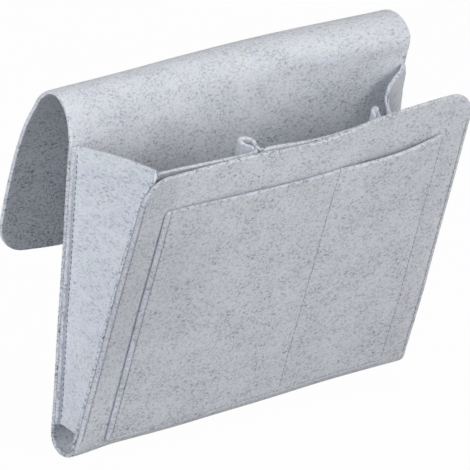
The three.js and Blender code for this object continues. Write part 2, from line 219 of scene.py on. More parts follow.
# %% Settling
def settle(points):
    """The small bends that a real felt caddy has, the same for every piece."""
    x, y, z = points[..., 0], points[..., 1], points[..., 2]
    # Where the point is: the share of the way to the front, up the panels, and down the hanging tail.
    depth = np.maximum((z - FRONT_Z) * math.tan(LEAN) - FRONT_Y, LEAST_DEPTH)
    toward = np.clip((-y - FELT) / (depth - FELT), 0, 1)
    height = np.clip((z - BOTTOM_Z) / PANEL_HEIGHT, 0, 1.1)
    hang = ramp(z, 116, -4) * ramp(y, 10, 30)
    at_right = ramp(x, 60, 160) ** 2

    # Forward and back.
    back_y = curve(x, *BACK_FORWARD) * curve(z, *BACK_TWIST) / MM
    front_y = -curve(x, *FRONT_BELLY) * height**1.5
    front_y = front_y - curve(x, *FRONT_RIGHT_OUT) * np.clip(height * 4, 0, 1)
    lean = curve(z, *ARCH_LEAN) * ramp(y, 24, 8) * ramp(y, -20, -4) * ramp(x, 100, -60)
    bow = curve(z, *TAIL_BOW) * ramp(y, 22, 30) * ramp(x, -40, -120)
    wave = WAVE * np.sin(x * 41 + z * 23 + 0.7) * np.sin(z * 37 - x * 17 + y * 29 + 1.9)
    shift_y = back_y * (1 - toward) + front_y * toward - TAIL_FORWARD * hang + lean + bow + wave

    # Up and down.
    low_z = curve(x, *FRONT_LOW_RISE)
    front_z = low_z * (1 - height) + curve(x, *FRONT_HIGH_RISE) * height
    share = np.maximum(toward, ramp(z, -115, -125))
    flat_z = curve(x, *BOTTOM_FLAT) * np.clip((FRONT_Z - z) / (11 * MM), 0, 1)
    flap_z = -curve(x, *ARCH_DROP) * ramp(z, 100, 130) - curve(x, *TAIL_DROP) * hang
    shift_z = front_z * share + low_z * (1 - share) * (1 - height) + flat_z + flap_z

    # Left and right.
    flap_out = FLAP_RIGHT_OUT + ARCH_RIGHT_OUT * ramp(z, 112, 124)
    shift_x = flap_out * at_right * ramp(z, 84, 111) * (1 - toward)
    shift_x = shift_x - FRONT_RIGHT_IN * at_right * toward * height + LEFT_IN * ramp(x, -60, -160) ** 2
    return points + np.stack([shift_x, shift_y, shift_z], axis=-1)


flap_end = np.array([160, 18.5, 136]) * MM
print("the arch's right end moves by", np.round((settle(flap_end) - flap_end) / MM, 1), "mm")

# %% [markdown]
# ## How felt is built
# A felt piece is a sheet three millimetres thick with cut edges that are a little round. A plane with a
# Solidify and a Bevel modifier would come close, but here the dents of the stitches lie on one face only, and
# a sheet that goes on in another piece has to end flat, so that the surface runs on without a line. So two
# grids make the two faces, and the border of the first is extruded in small steps over the edge until it
# meets the second. Each point keeps its place on the flat cut, which the felt's material reads, so the fibres
# follow the sheet round its bends. Its tone tells the material where edges, shade and flecks are stronger.


# %% Cut edges
SIDES = {
    "first_row": (np.s_[0], np.s_[1]),
    "last_row": (np.s_[-1], np.s_[-2]),
    "first_column": (np.s_[:, 0], np.s_[:, 1]),
    "last_column": (np.s_[:, -1], np.s_[:, -2]),
}
ALL_SIDES = tuple(SIDES)


def edge_out(middle, normal, side):
    """Unit vectors that lead out of the sheet along one side of the grid."""
    border, inner = SIDES[side]
    line = middle[border]
    out = unit(np.cross(np.gradient(line, axis=0), normal[border]))
    sign = np.sign(np.sum(out * (line - middle[inner]), axis=1, keepdims=True))
    return out * np.where(sign == 0, 1, sign)


def rim_outs(middle, normal, cut):
    """The border's points in order, the way out of the sheet at each, and whether a cut edge passes there."""
    rows, columns = middle.shape[:2]
    places = np.arange(rows * columns).reshape(rows, columns)
    outs = np.zeros((rows * columns, 3))
    seen = np.zeros(rows * columns, bool)
    for side in cut:
        for spot, out in zip(places[SIDES[side][0]], edge_out(middle, normal, side)):
            if not seen[spot]:
                outs[spot] = out
            elif np.dot(outs[spot], out) > 0.5:
                outs[spot] = unit(outs[spot] + out)
            else:
                outs[spot] = outs[spot] + out
            seen[spot] = True
    ring = np.concatenate([places[0], places[1:, -1], places[-1, -2::-1], places[-2:0:-1, 0]])
    return ring, outs[ring], seen[ring]


def rim_profile():
    """Steps over a cut edge as pairs: how far out, and how high over the middle."""
    steps = []
    for angle in (30, 60, 90):
        bend = math.radians(angle)
        steps.append((EDGE * math.sin(bend), HALF - EDGE + EDGE * math.cos(bend)))
    return steps + [(EDGE * 1.06, 0)] + [(out, -height) for out, height in reversed(steps)]


print(f"a cut edge is rounded in {len(rim_profile())} steps")


# %% Rings and pieces
def next_ring(shape, border, line):
    """Extrudes the border once. Gives the new border and its points in the same order."""
    made = bmesh.ops.extrude_edge_only(shape, edges=border)["geom"]
    fresh = {part for part in made if isinstance(part, bmesh.types.BMVert)}
    edges = [part for part in made if isinstance(part, bmesh.types.BMEdge)]
    after = []
    for vertex in line:
        near = [edge.other_vert(vertex) for edge in vertex.link_edges]
        after.append(next(other for other in near if other in fresh))
    return [edge for edge in edges if all(vertex in fresh for vertex in edge.verts)], after


def add_piece(name, shape):
    """Makes a finished bmesh an object at the origin."""
    for face in shape.faces:
        face.smooth = True
    mesh = bpy.data.meshes.new(name)
    shape.to_mesh(mesh)
    shape.free()
    piece = bpy.data.objects.new(name, mesh)
    bpy.context.scene.collection.objects.link(piece)
    print(f"{name}: {len(mesh.vertices)} points, {len(mesh.polygons)} faces")
    return piece


print("new pieces go into", bpy.context.scene.collection.name)

# %% Felt body
# An edge of a blunt end is drawn sharp where its faces turn by more than this angle in radians.
SHARP = 0.6


def felt_body(
    name,
    middle,
    normal,
    chart,
    cut,
    dents=(0, 0),
    origin=(0, 0),
    tone=(0.4, 0, 1),
    under_extra=(0, 1),
):
    """A closed felt sheet. middle, normal and chart are grids, cut names the sides that are cut edges.

    dents holds the dents of the upper and the under face. tone holds how strong the edge, the shade and the
    flecks are, and under_extra what is added to the shade and multiplied with the flecks of the under face.
    """
    rows, columns = middle.shape[:2]
    flat = (chart + np.array(origin)).reshape(-1, 2)
    rim, shade, flecks = [np.broadcast_to(part, (rows, columns)).reshape(-1) for part in tone]
    more_shade, more_flecks = [np.broadcast_to(part, (rows, columns)).reshape(-1) for part in under_extra]
    none = np.zeros(rows * columns)
    face_tones = [(none, shade, flecks), (none, shade + more_shade, flecks * more_flecks)]

    shape = bmesh.new()
    chart_layer = shape.verts.layers.float_vector.new("felt_chart")
    tone_layer = shape.verts.layers.float_vector.new("felt_tone")

    def place(vertices, points, flats, levels, tones):
        """Moves points to their settled places and writes where they lie on the cut and how they look."""
        charts = np.concatenate([flats, levels[:, None]], axis=1).tolist()
        looks = np.stack(tones, axis=-1).tolist()
        for vertex, point, spot, look in zip(vertices, settle(points).tolist(), charts, looks):
            vertex.co = point
            vertex[chart_layer] = spot
            vertex[tone_layer] = look

    # The two faces.
    grids = []
    for side, dent, tones in zip((1, -1), dents, face_tones):
        grid = bmesh.ops.create_grid(shape, x_segments=columns - 1, y_segments=rows - 1, size=1)["verts"]
        points = middle + side * normal * (HALF - np.broadcast_to(dent, (rows, columns)))[..., None]
        place(grid, points.reshape(-1, 3), flat, np.full(rows * columns, side * HALF), tones)
        grids.append(grid)

    # Rings over the edge. The last one is welded on the border of the under face.
    ring, outs, seen = rim_outs(middle, normal, cut)
    ring_middle, ring_normal = middle.reshape(-1, 3)[ring], normal.reshape(-1, 3)[ring]
    edge_tone = (rim[ring] * seen, shade[ring], flecks[ring])
    over_ring, under_ring = [[grid[spot] for spot in ring] for grid in grids]
    line = over_ring
    border = [shape.edges.get(pair) for pair in zip(line, line[1:] + line[:1])]
    profile = rim_profile()
    for step, (out, height) in enumerate(profile):
        border, line = next_ring(shape, border, line)
        straight = HALF * (1 - 2 * (step + 1) / (len(profile) + 1))
        level = np.where(seen, height, straight)
        place(line, ring_middle + outs * out + ring_normal * level[:, None], flat[ring], level, edge_tone)
    border, line = next_ring(shape, border, line)
    bmesh.ops.weld_verts(shape, targetmap=dict(zip(line, under_ring)))

    # Faces look outward, and a blunt end keeps sharp edges.
    shape.normal_update()
    bmesh.ops.recalc_face_normals(shape, faces=shape.faces)
    ends = zip(over_ring + under_ring, list(seen) * 2)
    blunt = {vertex for vertex, on_cut in ends if not on_cut}
    for edge in {edge for vertex in blunt for edge in vertex.link_edges}:
        if edge.is_manifold and all(vertex in blunt for vertex in edge.verts):
            edge.smooth = edge.calc_face_angle(0) < SHARP
    return add_piece(name, shape)


print("a blunt end is sharp where its faces turn by more than", round(math.degrees(SHARP)), "degrees")


# %% Dents of the stitches
def groove(distance, along, first, last):
    """How deep a row of stitches draws the felt in, with a deeper spot at each needle hole."""
    row_width, hole_width = 0.9 * MM, 0.7 * MM
    row_depth, hole_depth = 0.26 * MM, 0.3 * MM
    fade = 2 * MM
    beside = np.exp(-((distance / row_width) ** 2))
    turns = 2 * math.pi * (along - first) / PITCH
    hole = np.exp(-((distance / hole_width) ** 2)) * (0.5 + 0.5 * np.cos(turns)) ** 2
    inside = np.clip((along - first) / fade + 1, 0, 1) * np.clip((last - along) / fade + 1, 0, 1)
    return (row_depth * beside + hole_depth * hole) * inside


def spread(low, high, step, marks=()):
    """Evenly spaced values from low to high, with the marks put in and close neighbours left out."""
    count = max(2, int(round((high - low) / step)) + 1)
    values = list(marks)
    for value in np.linspace(low, high, count):
        if all(abs(value - mark) > 0.45 * step for mark in marks):
            values.append(value)
    return np.array(sorted(values))


def seam_marks(centre):
    """Columns of a grid that stand close together where a row of stitches passes."""
    return [centre + offset * MM for offset in (-2.2, -1.2, -0.5, 0, 0.5)]


print(f"a needle hole draws the felt in by {groove(0.0, 0.0, 0.0, 1.0) / MM:.2f} mm")

# %% [markdown]
# ## Places on the main sheet
# The long sheet bends only about X, so a place on it is a point and a normal in the YZ plane, and a grid
# across X makes it a sheet. In Blender this section could be drawn as a curve and extruded. Here short
# functions give it, because the dents and the tones need the length along the sheet at every point. The
# normal leads into the compartment, and on the flap up and out.


# %% Section of the main sheet
FRONT_LENGTH = 228 * MM
ARCH_RADIUS = 18.5 * MM
ARCH_TURN = math.radians(158)
TAIL_LENGTH = 132 * MM
TAIL_TURN = math.radians(12)


def turned_normals(angles):
    return np.stack([-np.cos(angles), np.sin(angles)], axis=1)


def back_line(heights):
    points = np.stack([np.full_like(heights, -HALF), heights], axis=1)
    return points, np.tile([-1.0, 0.0], (len(heights), 1))


def bend_line(angles):
    normal = turned_normals(angles)
    return np.array([-BOTTOM_RADIUS, BOTTOM_Z]) - (BOTTOM_RADIUS - HALF) * normal, normal


def front_line(lengths):
    base = np.array([FRONT_Y, FRONT_Z])
    upward = np.array([-math.sin(LEAN), math.cos(LEAN)])
    inward = np.array([math.cos(LEAN), math.sin(LEAN)])
    points = base + np.outer(lengths, upward) + inward * HALF
    return points, np.tile(inward, (len(lengths), 1))


def arch_line(angles):
    normal = turned_normals(angles)
    return np.array([ARCH_RADIUS, ARCH_Z]) + (ARCH_RADIUS + HALF) * normal, normal


def tail_line(lengths):
    radius = TAIL_LENGTH / TAIL_TURN
    end = turned_normals(np.array([ARCH_TURN]))[0]
    centre = np.array([ARCH_RADIUS, ARCH_Z]) + ARCH_RADIUS * end - radius * end
    normal = turned_normals(ARCH_TURN + lengths / radius)
    return centre + (radius + HALF) * normal, normal


arch_top = float(arch_line(np.radians([90.0]))[0][0, 1])
print(f"the middle of the felt is at Z {arch_top / MM:.1f} mm on the arch's top")


# %% Grids on the main sheet and on the front
def strip_grid(parts, widths, columns):
    """Grids for a strip across X: parts are lines and normals, widths the half width of each row."""
    line = np.concatenate([points for points, _ in parts])
    normals = np.concatenate([normals for _, normals in parts])
    x = np.outer(widths, columns / np.max(np.abs(columns)))
    y, z, normal_y, normal_z = [
        np.tile(values[:, None], (1, len(columns))) for values in (*line.T, *normals.T)
    ]
    length = np.concatenate([[0], np.cumsum(np.linalg.norm(np.diff(line, axis=0), axis=1))])
    chart = np.stack(np.broadcast_arrays(x, length[:, None]), axis=-1)
    return np.stack([x, y, z], axis=-1), np.stack([0 * x, normal_y, normal_z], axis=-1), chart


def front_spot(x, along, out):
    """A point on the leaning front: across, up along the panel and out of its outer face."""
    x, along, out = np.broadcast_arrays(x, along, out)
    y = FRONT_Y - along * math.sin(LEAN) - out * math.cos(LEAN)
    z = FRONT_Z + along * math.cos(LEAN) - out * math.sin(LEAN)
    return np.stack([x, y, z], axis=-1)


def grid_normals(middle):
    return unit(np.cross(np.gradient(middle, axis=1), np.gradient(middle, axis=0)))


def corner_rows(top, half_width, corner, first, count):
    """Rows round an upper corner, from the angle first in degrees: how far up and how wide they are."""
    turns = np.radians(np.linspace(first, 90, count))
    radius = corner - EDGE
    return top - corner + radius * np.sin(turns), half_width - corner + radius * np.cos(turns)


EDGE_X = WIDTH / 2 - EDGE
side_marks = seam_marks(SEAM_X) + [EDGE_X - 0.8 * MM, EDGE_X]
wide_columns = spread(-EDGE_X, EDGE_X, 4 * MM, [-mark for mark in side_marks] + side_marks)
print(len(wide_columns), "columns across the sheet, closer together at the side rows")

# %% [markdown]
# ## Main sheet
# The real sheet is one piece of felt, folded and never cut. It could be one long grid, but the front folds
# toward the back and the flap bends in two places, and one piece can follow only two bodies. So it is three
# pieces: the lower back with the bottom and the front, the upper back with the first half of the arch, and
# the second half of the arch with the tail. They end flat where they meet, and no line shows there.

# %% Lower back, bottom and front
BACK_CUT = 40 * MM
FRONT_CORNER = 24 * MM
ROW_STEP = 2 * MM
rows_down = np.arange(BACK_CUT, BOTTOM_Z + 0.5 * MM, -ROW_STEP)
rows_bend = np.linspace(0, TURN, 27)
rows_up = np.arange(ROW_STEP, FRONT_LENGTH - FRONT_CORNER + 0.1 * MM, ROW_STEP)
rows_corner, corner_widths = corner_rows(FRONT_LENGTH, WIDTH / 2, FRONT_CORNER, 7.5, 14)
front_rows = np.concatenate([rows_up, rows_corner])
below_front = len(rows_down) + len(rows_bend)
widths = np.concatenate([np.full(below_front + len(rows_up), EDGE_X), corner_widths])
parts = [back_line(rows_down), bend_line(rows_bend), front_line(front_rows)]
middle, normal, chart = strip_grid(parts, widths, wide_columns)
front_along = np.concatenate([np.zeros(below_front), front_rows])[:, None]
on_front = (np.arange(len(widths)) >= below_front)[:, None]
print(len(widths), "rows from the back round the bottom to the front's upper edge")

# %% Upper edge and rows of stitches of the front
# How far the front's upper edge dips: places across, dips and softness.
RIM_DIP = (
    (-160, -130, -75, -60, -48, -35, -20, 7, 25, 35, 53, 100, 132, 160),
    (5.2, 5.2, 4.0, 3.4, 3.6, 4.2, 5.2, 5.0, 3.8, 3.6, 1.5, 1.4, 0.6, 1.8),
    5,
)
FRONT_SEAM = (4 * MM, 204 * MM)
BACK_SEAM = (-104 * MM, 96 * MM)
dip = curve(middle[..., 0], *RIM_DIP) * ramp(front_along, 160, 228) ** 2
middle[..., 1] += dip * math.sin(LEAN)
middle[..., 2] -= dip * math.cos(LEAN)
beside = np.abs(np.abs(middle[..., 0]) - SEAM_X)
on_back = ~on_front * (middle[..., 1] > -4 * MM)
dent = groove(beside, front_along, *FRONT_SEAM) * on_front
dent += groove(beside, middle[..., 2], *BACK_SEAM) * on_back
print(f"the upper edge dips by up to {dip.max() / MM:.1f} mm")

# %% Tone of the front
# The front and the bend below it have painted shade, which the back does not have.
FRONT_SHADE = 0.11
FRONT_EDGES = 0.3
BACK_EDGES = 0.75
UPPER_EDGE = 0.8
BACK_FLECKS = 1.15
FRONT_FLECKS = 1.0
# The margin left of the pocket has more painted shade: places up the front, and how many times the
# front's shade is added.
MARGIN_PLACES = (20, 55, 107, 127, 192)
MARGIN_SHADES = (0, 1.5, 3.6, 4.0, 2.9)
edge_tones = np.where(on_front, FRONT_EDGES, BACK_EDGES)
edge_tones[-8:] = UPPER_EDGE
up_front = np.interp(np.arange(len(widths)), [len(rows_down), below_front], [0, 1])[:, None]
margin = np.interp(front_along / MM, MARGIN_PLACES, MARGIN_SHADES) * ramp(middle[..., 0], -124, -132)
flecks = np.interp(up_front, [0, 1], [BACK_FLECKS, FRONT_FLECKS])
front_sheet = felt_body(
    "front_sheet",
    middle,
    normal,
    chart,
    ("last_row", "first_column", "last_column"),
    dents=(0, dent),
    tone=(edge_tones, FRONT_SHADE * up_front * (1 + margin), flecks),
)

# %% Upper back and first half of the arch
FLAP_FLECKS = 0.78
rows_up_back = np.arange(BACK_CUT, ARCH_Z - 1 * MM, ROW_STEP)
rows_arch = np.radians(np.concatenate([np.arange(0, 76.1, 2), [77, 78, 78.5, 79]]))
parts = [back_line(rows_up_back), arch_line(rows_arch)]
widths = np.full(len(rows_up_back) + len(rows_arch), EDGE_X)
middle, normal, chart = strip_grid(parts, widths, wide_columns)
beside = np.abs(np.abs(middle[..., 0]) - SEAM_X)
dent = groove(beside, middle[..., 2], *BACK_SEAM)
back_flecks = np.interp(rows_up_back, [70 * MM, ARCH_Z], [BACK_FLECKS, FLAP_FLECKS])
flecks = np.concatenate([back_flecks, np.full(len(rows_arch), FLAP_FLECKS)])
back_sheet = felt_body(
    "back_sheet",
    middle,
    normal,
    chart,
    ("first_column", "last_column"),
    dents=(0, dent),
    origin=(0.0, -0.2),
    tone=(0.6, 0.0, flecks[:, None]),
)

# %% Second half of the arch and tail
TAIL_CORNER = 26 * MM
rows_arch = np.radians(np.concatenate([[79, 79.5, 80], np.arange(82, 158.1, 2)]))
rows_tail = np.arange(2 * MM, TAIL_LENGTH - TAIL_CORNER + 0.1 * MM, 3 * MM)
rows_corner, corner_widths = corner_rows(TAIL_LENGTH, WIDTH / 2, TAIL_CORNER, 6, 15)
widths = np.concatenate([np.full(len(rows_arch) + len(rows_tail), EDGE_X), corner_widths])
parts = [arch_line(rows_arch), tail_line(np.concatenate([rows_tail, rows_corner]))]
end_marks = [-EDGE_X, 0.8 * MM - EDGE_X, EDGE_X - 0.8 * MM, EDGE_X]
middle, normal, chart = strip_grid(parts, widths, spread(-EDGE_X, EDGE_X, 4 * MM, end_marks))
# The underside has more flecks, which also darken it as painted shade, and near the arch it has painted
# shade.
inside_flecks_and_shade = np.interp(chart[:, :1, 1], [0, 40 * MM], [1.0, 1.75])
inside_shade = np.interp(chart[:, :1, 1], [25 * MM, 85 * MM], [0.35, 0])
flap_sheet = felt_body(
    "flap_sheet",
    middle,
    normal,
    chart,
    ("last_row", "first_column", "last_column"),
    origin=(0.1, 0.5),
    tone=(0.4, 0.0, FLAP_FLECKS),
    under_extra=(inside_shade, inside_flecks_and_shade),
)

# %% [markdown]
# ## Gussets
# A gusset is a tapered felt wall whose two long edges turn out as flanges and are sewn on the back and on the
# front. The right wall is pressed inward at the top and its top edge sags, as in the photograph. The lower
# edge stays above the round bottom, so the corners are open. A cloth simulation could press the wall in, but
# a plan line for each height, drawn from the back seam to the front seam, follows the photograph closely.

# %% Plan of a gusset
GUSSET_BOTTOM = -108 * MM
GUSSET_BEND = 3 * MM
REAR_INSET = 7 * MM
FRONT_INSET = 12 * MM
CORNER_REACH = 4.5 * MM
LEAST_FLANGE = 3 * MM
TOP_SOFTNESS = 5 * MM
TOP_NARROWING = 1 * MM
FLANGE_STEPS = 5
BEND_STEPS = 7
WALL_STEPS = 30
# How far the wall bows in, by the share of the way from the back to the front.
BOW_SHARES = (0, 0.05, 0.1, 0.2, 0.3, 0.4, 0.5, 0.6, 0.7, 0.8, 0.9, 0.95, 1)
BOW_DEPTHS = (0, 0.1, 0.29, 0.65, 0.9, 1.02, 1.14, 1.22, 1.06, 0.68, 0.24, 0.07, 0)
fine_shares = np.linspace(0, 1, 201)
rough_bow = np.pad(np.interp(fine_shares, BOW_SHARES, BOW_DEPTHS), 15, mode="edge")
bow_window = np.hanning(31)
smooth_bow = np.convolve(rough_bow, bow_window / bow_window.sum(), mode="valid")


def corner_draw(z):
    """How far the front's round upper corner lies inside its straight edge at one height."""
    along = (z - FRONT_Z - (FELT + GAP) * math.sin(LEAN)) / math.cos(LEAN)
    reach = np.clip(FRONT_CORNER - (FRONT_LENGTH - CORNER_REACH - along), 0, FRONT_CORNER)
    return FRONT_CORNER - np.sqrt(FRONT_CORNER**2 - reach**2)


def gusset_plan(z, bow):
    """Middle line of a gusset at one height as points in X and Y, from the rear edge to the front edge."""
    rear = -FELT - GAP - HALF
    front = FRONT_Y - (z - FRONT_Z) * math.tan(LEAN) + (FELT + GAP + HALF) / math.cos(LEAN)
    rise = np.clip((z - GUSSET_BOTTOM) / (GUSSET_TOP - GUSSET_BOTTOM), 0, 1)
    rear_x = WIDTH / 2 - REAR_INSET + HALF
    front_x = WIDTH / 2 - FRONT_INSET + HALF - TOP_NARROWING * rise**4
    bend = GUSSET_BEND
    soft = GUSSET_BEND + TOP_SOFTNESS * rise**4
    swell = bow * rise**2.2
    turns = np.linspace(0, math.pi / 2, BEND_STEPS)
    plan = []
    for share in np.linspace(0, 1, FLANGE_STEPS):
        plan.append((EDGE_X + (rear_x + bend - EDGE_X) * share, rear))
    for angle in turns[1:]:
        plan.append((rear_x + bend * (1 - math.sin(angle)), rear - bend * (1 - math.cos(angle))))
    for share in np.linspace(0, 1, WALL_STEPS)[1:-1]:
        wall_x = rear_x + (front_x - rear_x) * share - swell * np.interp(share, fine_shares, smooth_bow)
        plan.append((wall_x, rear - bend + (front - rear + bend + soft) * share))
    spare = EDGE_X - corner_draw(z) - front_x - LEAST_FLANGE
    edge = front_x + LEAST_FLANGE + (spare + math.hypot(spare, LEAST_FLANGE)) / 2
    soft_x = min(soft, (edge - front_x) * 0.7)
    for angle in turns[:-1]:
        plan.append((front_x + soft_x * (1 - math.cos(angle)), front + soft * (1 - math.sin(angle))))
    for share in np.linspace(0, 1, FLANGE_STEPS):
        plan.append((front_x + soft_x + (edge - front_x - soft_x) * share, front))
    return np.array(plan)


print(len(gusset_plan(0.0, 0.0)), "points on each plan line")

# %% Walls of the gussets
GUSSET_DIP = 13 * MM
LEFT_RISE = 2.2 * MM
LEFT_CORNER_OFF = 1 * MM
LEFT_CORNER_IN = 2 * MM
# How far the right wall's top edge sags in millimetres, by the share of the way to the front.
SAG_SHARES = (0, 0.1, 0.2, 0.3, 0.4, 0.5, 0.6, 0.7, 0.8, 0.9, 1)
SAG_DROPS = (-1.4, 2.2, 7.6, 14.2, 20.6, 25.4, 27.6, 27, 23.5, 18, 13)


def top_drop(side, share, turned, outer):
    """How far the top edge lies under a level line: on the wall, the front flange and the rear flange."""
    if side < 0:
        return 9 * MM * turned**2 - LEFT_RISE * math.sin(math.pi / 2 * min(share / 0.8, 1))
    return (3 * turned**2 + np.interp(share, SAG_SHARES, SAG_DROPS) + 7 * outer) * MM


def gusset_wall(side, bow, levels):
    """The middle of one wall as a grid, and the share of the way to the front for each column."""
    columns = len(gusset_plan(0.0, bow))
    wall_start = FLANGE_STEPS + BEND_STEPS - 2
    turn_start = wall_start + WALL_STEPS
    order = np.arange(columns)
    follow = np.clip((order - wall_start) / (turn_start - wall_start), 0, 1)
    turned = np.clip((order - turn_start) / (columns - 1 - turn_start), 0, 1)
    outer = np.clip(1 - order / FLANGE_STEPS, 0, 1)
    dips = GUSSET_DIP * np.linspace(0, 1, columns) ** 1.6
    middle = np.zeros((len(levels), columns, 3))
    for row, level in enumerate(levels):
        below = (GUSSET_TOP - level) / (GUSSET_TOP - GUSSET_BOTTOM)
        for column in range(columns):
            drop = top_drop(side, follow[column], turned[column], outer[column])
            z = level - dips[column] * below - drop * (1 - below) ** 3
            middle[row, column] = (*gusset_plan(z, bow)[column], z)
    if side < 0:
        loose = ramp(middle[..., 2], 86, 100) ** 1.5 * follow**4
        middle[..., 0] -= LEFT_CORNER_IN * loose
        middle[..., 1] += LEFT_CORNER_OFF * loose
    middle[..., 0] *= side
    return middle, follow


print(f"the right wall's top edge sags by up to {max(SAG_DROPS)} mm")


# %% Gussets
LEFT_BOW = 2 * MM
RIGHT_BOW = 36 * MM
WALL_SHADE = 0.36
WALL_EDGES = 0.7
FRONT_FLANGE_EDGE = 1.7
WALL_FLECKS = 0.72


def gusset(name, side, bow, origin):
    """One gusset, and for each of its points how far it follows the front."""
    levels = spread(GUSSET_BOTTOM + EDGE, GUSSET_TOP - EDGE, 2.6 * MM)
    middle, follow = gusset_wall(side, bow, levels)
    steps = np.linalg.norm(np.diff(middle[len(levels) // 2], axis=0), axis=1)
    length = np.concatenate([[0], np.cumsum(steps)])
    chart = np.stack(np.broadcast_arrays(length[None, :], levels[:, None]), axis=-1)
    beside = np.abs(np.abs(middle[..., 0]) - SEAM_X)
    front_along = (middle[..., 2] - FRONT_Z) / math.cos(LEAN)
    rear_half = (np.arange(len(follow)) < len(follow) // 2)[None, :]
    dent = groove(beside, middle[..., 2], *BACK_SEAM) * rear_half
    dent = dent + groove(beside, front_along, *FRONT_SEAM) * ~rear_half
    edge_tones = np.full(dent.shape, WALL_EDGES)
    edge_tones[:, -1] = FRONT_FLANGE_EDGE
    # Painted shade on the right wall, most in the middle of the wall and higher up. The left wall and the top
    # edge have none.
    shades = WALL_SHADE * max(side, 0) * ramp(middle[..., 2], 30, 80) * np.sin(math.pi * follow)
    shades[-1] = 0
    piece = felt_body(
        name,
        middle,
        grid_normals(middle) * side,
        chart,
        ALL_SIDES,
        dents=(dent, 0),
        origin=origin,
        tone=(edge_tones, shades, WALL_FLECKS),
    )
    place = np.zeros(3 * len(piece.data.vertices))
    piece.data.attributes["felt_chart"].data.foreach_get("vector", place)
    return piece, np.interp(place[0::3] - origin[0], length, follow)


left_gusset, left_follow = gusset("gusset_left", -1, LEFT_BOW, (0.7, 0.3))
right_gusset, right_follow = gusset("gusset_right", 1, RIGHT_BOW, (1.1, 0.1))

# %% [markdown]
# ## Outer pocket
# The pocket is a flat felt panel on the front. Its side rows, its bottom row and the row that divides it hold
# it down, and between them its mouth stands off a little, more on the narrow side. A flat grid with a Simple
# Deform or a sculpted lip would do, but here the lip is two sine lobes that are zero at the rows, so the felt
# stays down where it is sewn.


# %% Shape of the outer pocket
POCKET_WIDTH = 270 * MM
POCKET_BOTTOM = 2 * MM
POCKET_TOP = 195 * MM
POCKET_CORNER = 4 * MM
LOW_CORNER = 2 * MM
POCKET_SPLIT = 31 * MM
POCKET_ROW = POCKET_WIDTH / 2 - 3.6 * MM
POCKET_EDGE = POCKET_WIDTH / 2 - EDGE
BOTTOM_ROW = POCKET_BOTTOM + SEAM_INSET
WIDE_GAPE = 1.6 * MM
NARROW_GAPE = 5.2 * MM
TOP_RISE = ((-160, 31, 100, 135, 160), (0, -0.5, 0.3, 2.4, 2.4), 8)


def pocket_gape(x, along):
    """How far the pocket stands off the front."""
    wide = np.clip((x + POCKET_ROW) / (POCKET_SPLIT + POCKET_ROW), 0, 1)
    narrow = np.clip((x - POCKET_SPLIT) / (POCKET_ROW - POCKET_SPLIT), 0, 1)
    rise = np.clip((along - POCKET_BOTTOM) / (POCKET_TOP - POCKET_BOTTOM), 0, 1) ** 3
    return (WIDE_GAPE * np.sin(math.pi * wide) + NARROW_GAPE * np.sin(math.pi * narrow)) * rise


row_marks = seam_marks(POCKET_ROW) + [POCKET_EDGE - 0.7 * MM, POCKET_EDGE]
split_marks = [POCKET_SPLIT + offset * MM for offset in (-2.4, -1.2, -0.5, 0, 0.5, 1.2, 2.4)]
pocket_marks = [-mark for mark in row_marks] + row_marks + split_marks
pocket_columns = spread(-POCKET_EDGE, POCKET_EDGE, 4 * MM, pocket_marks)
# The lower corners are upper corners turned over.
low_rows, low_widths = corner_rows(-POCKET_BOTTOM, POCKET_WIDTH / 2, LOW_CORNER, 0, 6)
low_rows, low_widths = -low_rows[::-1], low_widths[::-1]
high_rows, high_widths = corner_rows(POCKET_TOP, POCKET_WIDTH / 2, POCKET_CORNER, 0, 6)
sewn_rows = BOTTOM_ROW + np.array([-0.5, 0, 0.5, 1.4]) * MM
free_rows = np.arange(8 * MM, POCKET_TOP - POCKET_CORNER - 1 * MM, ROW_STEP)
plain_widths = np.full(len(sewn_rows) + len(free_rows), POCKET_EDGE)
widths = np.concatenate([low_widths, plain_widths, high_widths])
along = np.concatenate([low_rows, sewn_rows, free_rows, high_rows])
x = np.outer(widths, pocket_columns / POCKET_EDGE)
along = np.tile(along[:, None], (1, x.shape[1]))
high = along + curve(x, *TOP_RISE) * ramp(along, 90, POCKET_TOP / MM) ** 2
middle = front_spot(x, high, GAP + HALF + pocket_gape(x, along))
print(f"the mouth stands off by up to {pocket_gape(x, along).max() / MM:.1f} mm")

# %% Outer pocket
POCKET_SIDE = (8 * MM, 196 * MM)
POCKET_MIDDLE = (8 * MM, 196 * MM)
POCKET_LOW = (-132 * MM, 132 * MM)
# The pocket has painted shade all over, and more painted shade in a soft patch at its upper left.
POCKET_SHADE = 0.16
PAINTED_LEFT_SHADE = 0.26
# The right side row, the middle row and the bottom row draw the felt in less than the left side row.
dent = np.where(x > 0, 0.5, 1.0) * groove(np.abs(np.abs(x) - POCKET_ROW), along, *POCKET_SIDE)
dent = dent + 0.6 * groove(np.abs(x - POCKET_SPLIT), along, *POCKET_MIDDLE)
dent = dent + 0.3 * groove(np.abs(along - BOTTOM_ROW), x, *POCKET_LOW)
painted_left_shade = np.exp(-(((x + 120 * MM) / (45 * MM)) ** 2) - ((along - 135 * MM) / (65 * MM)) ** 2)
pocket_sheet = felt_body(
    "pocket_sheet",
    middle,
    grid_normals(middle),
    np.stack([x, along], axis=-1),
    ALL_SIDES,
    dents=(dent, 0),
    origin=(0.3, 1.4),
    tone=(0.2, POCKET_SHADE + PAINTED_LEFT_SHADE * painted_left_shade, 1.05),
)
print(f"cut {POCKET_WIDTH / MM:.0f} x {(POCKET_TOP - POCKET_BOTTOM) / MM:.0f} mm")

# %% [markdown]
# ## Inner panel
# A felt panel stands behind the front and shows as a second edge over the front's edge. Two loops are folded
# into it, each sewn together at its foot, for a pen or a pair of glasses. It could be a curve with a bevel,
# but the loops and the flat runs are one sheet, so one plan line goes along the panel and round both loops,
# and each row of the grid repeats it. In the photograph both loops lean to one side.


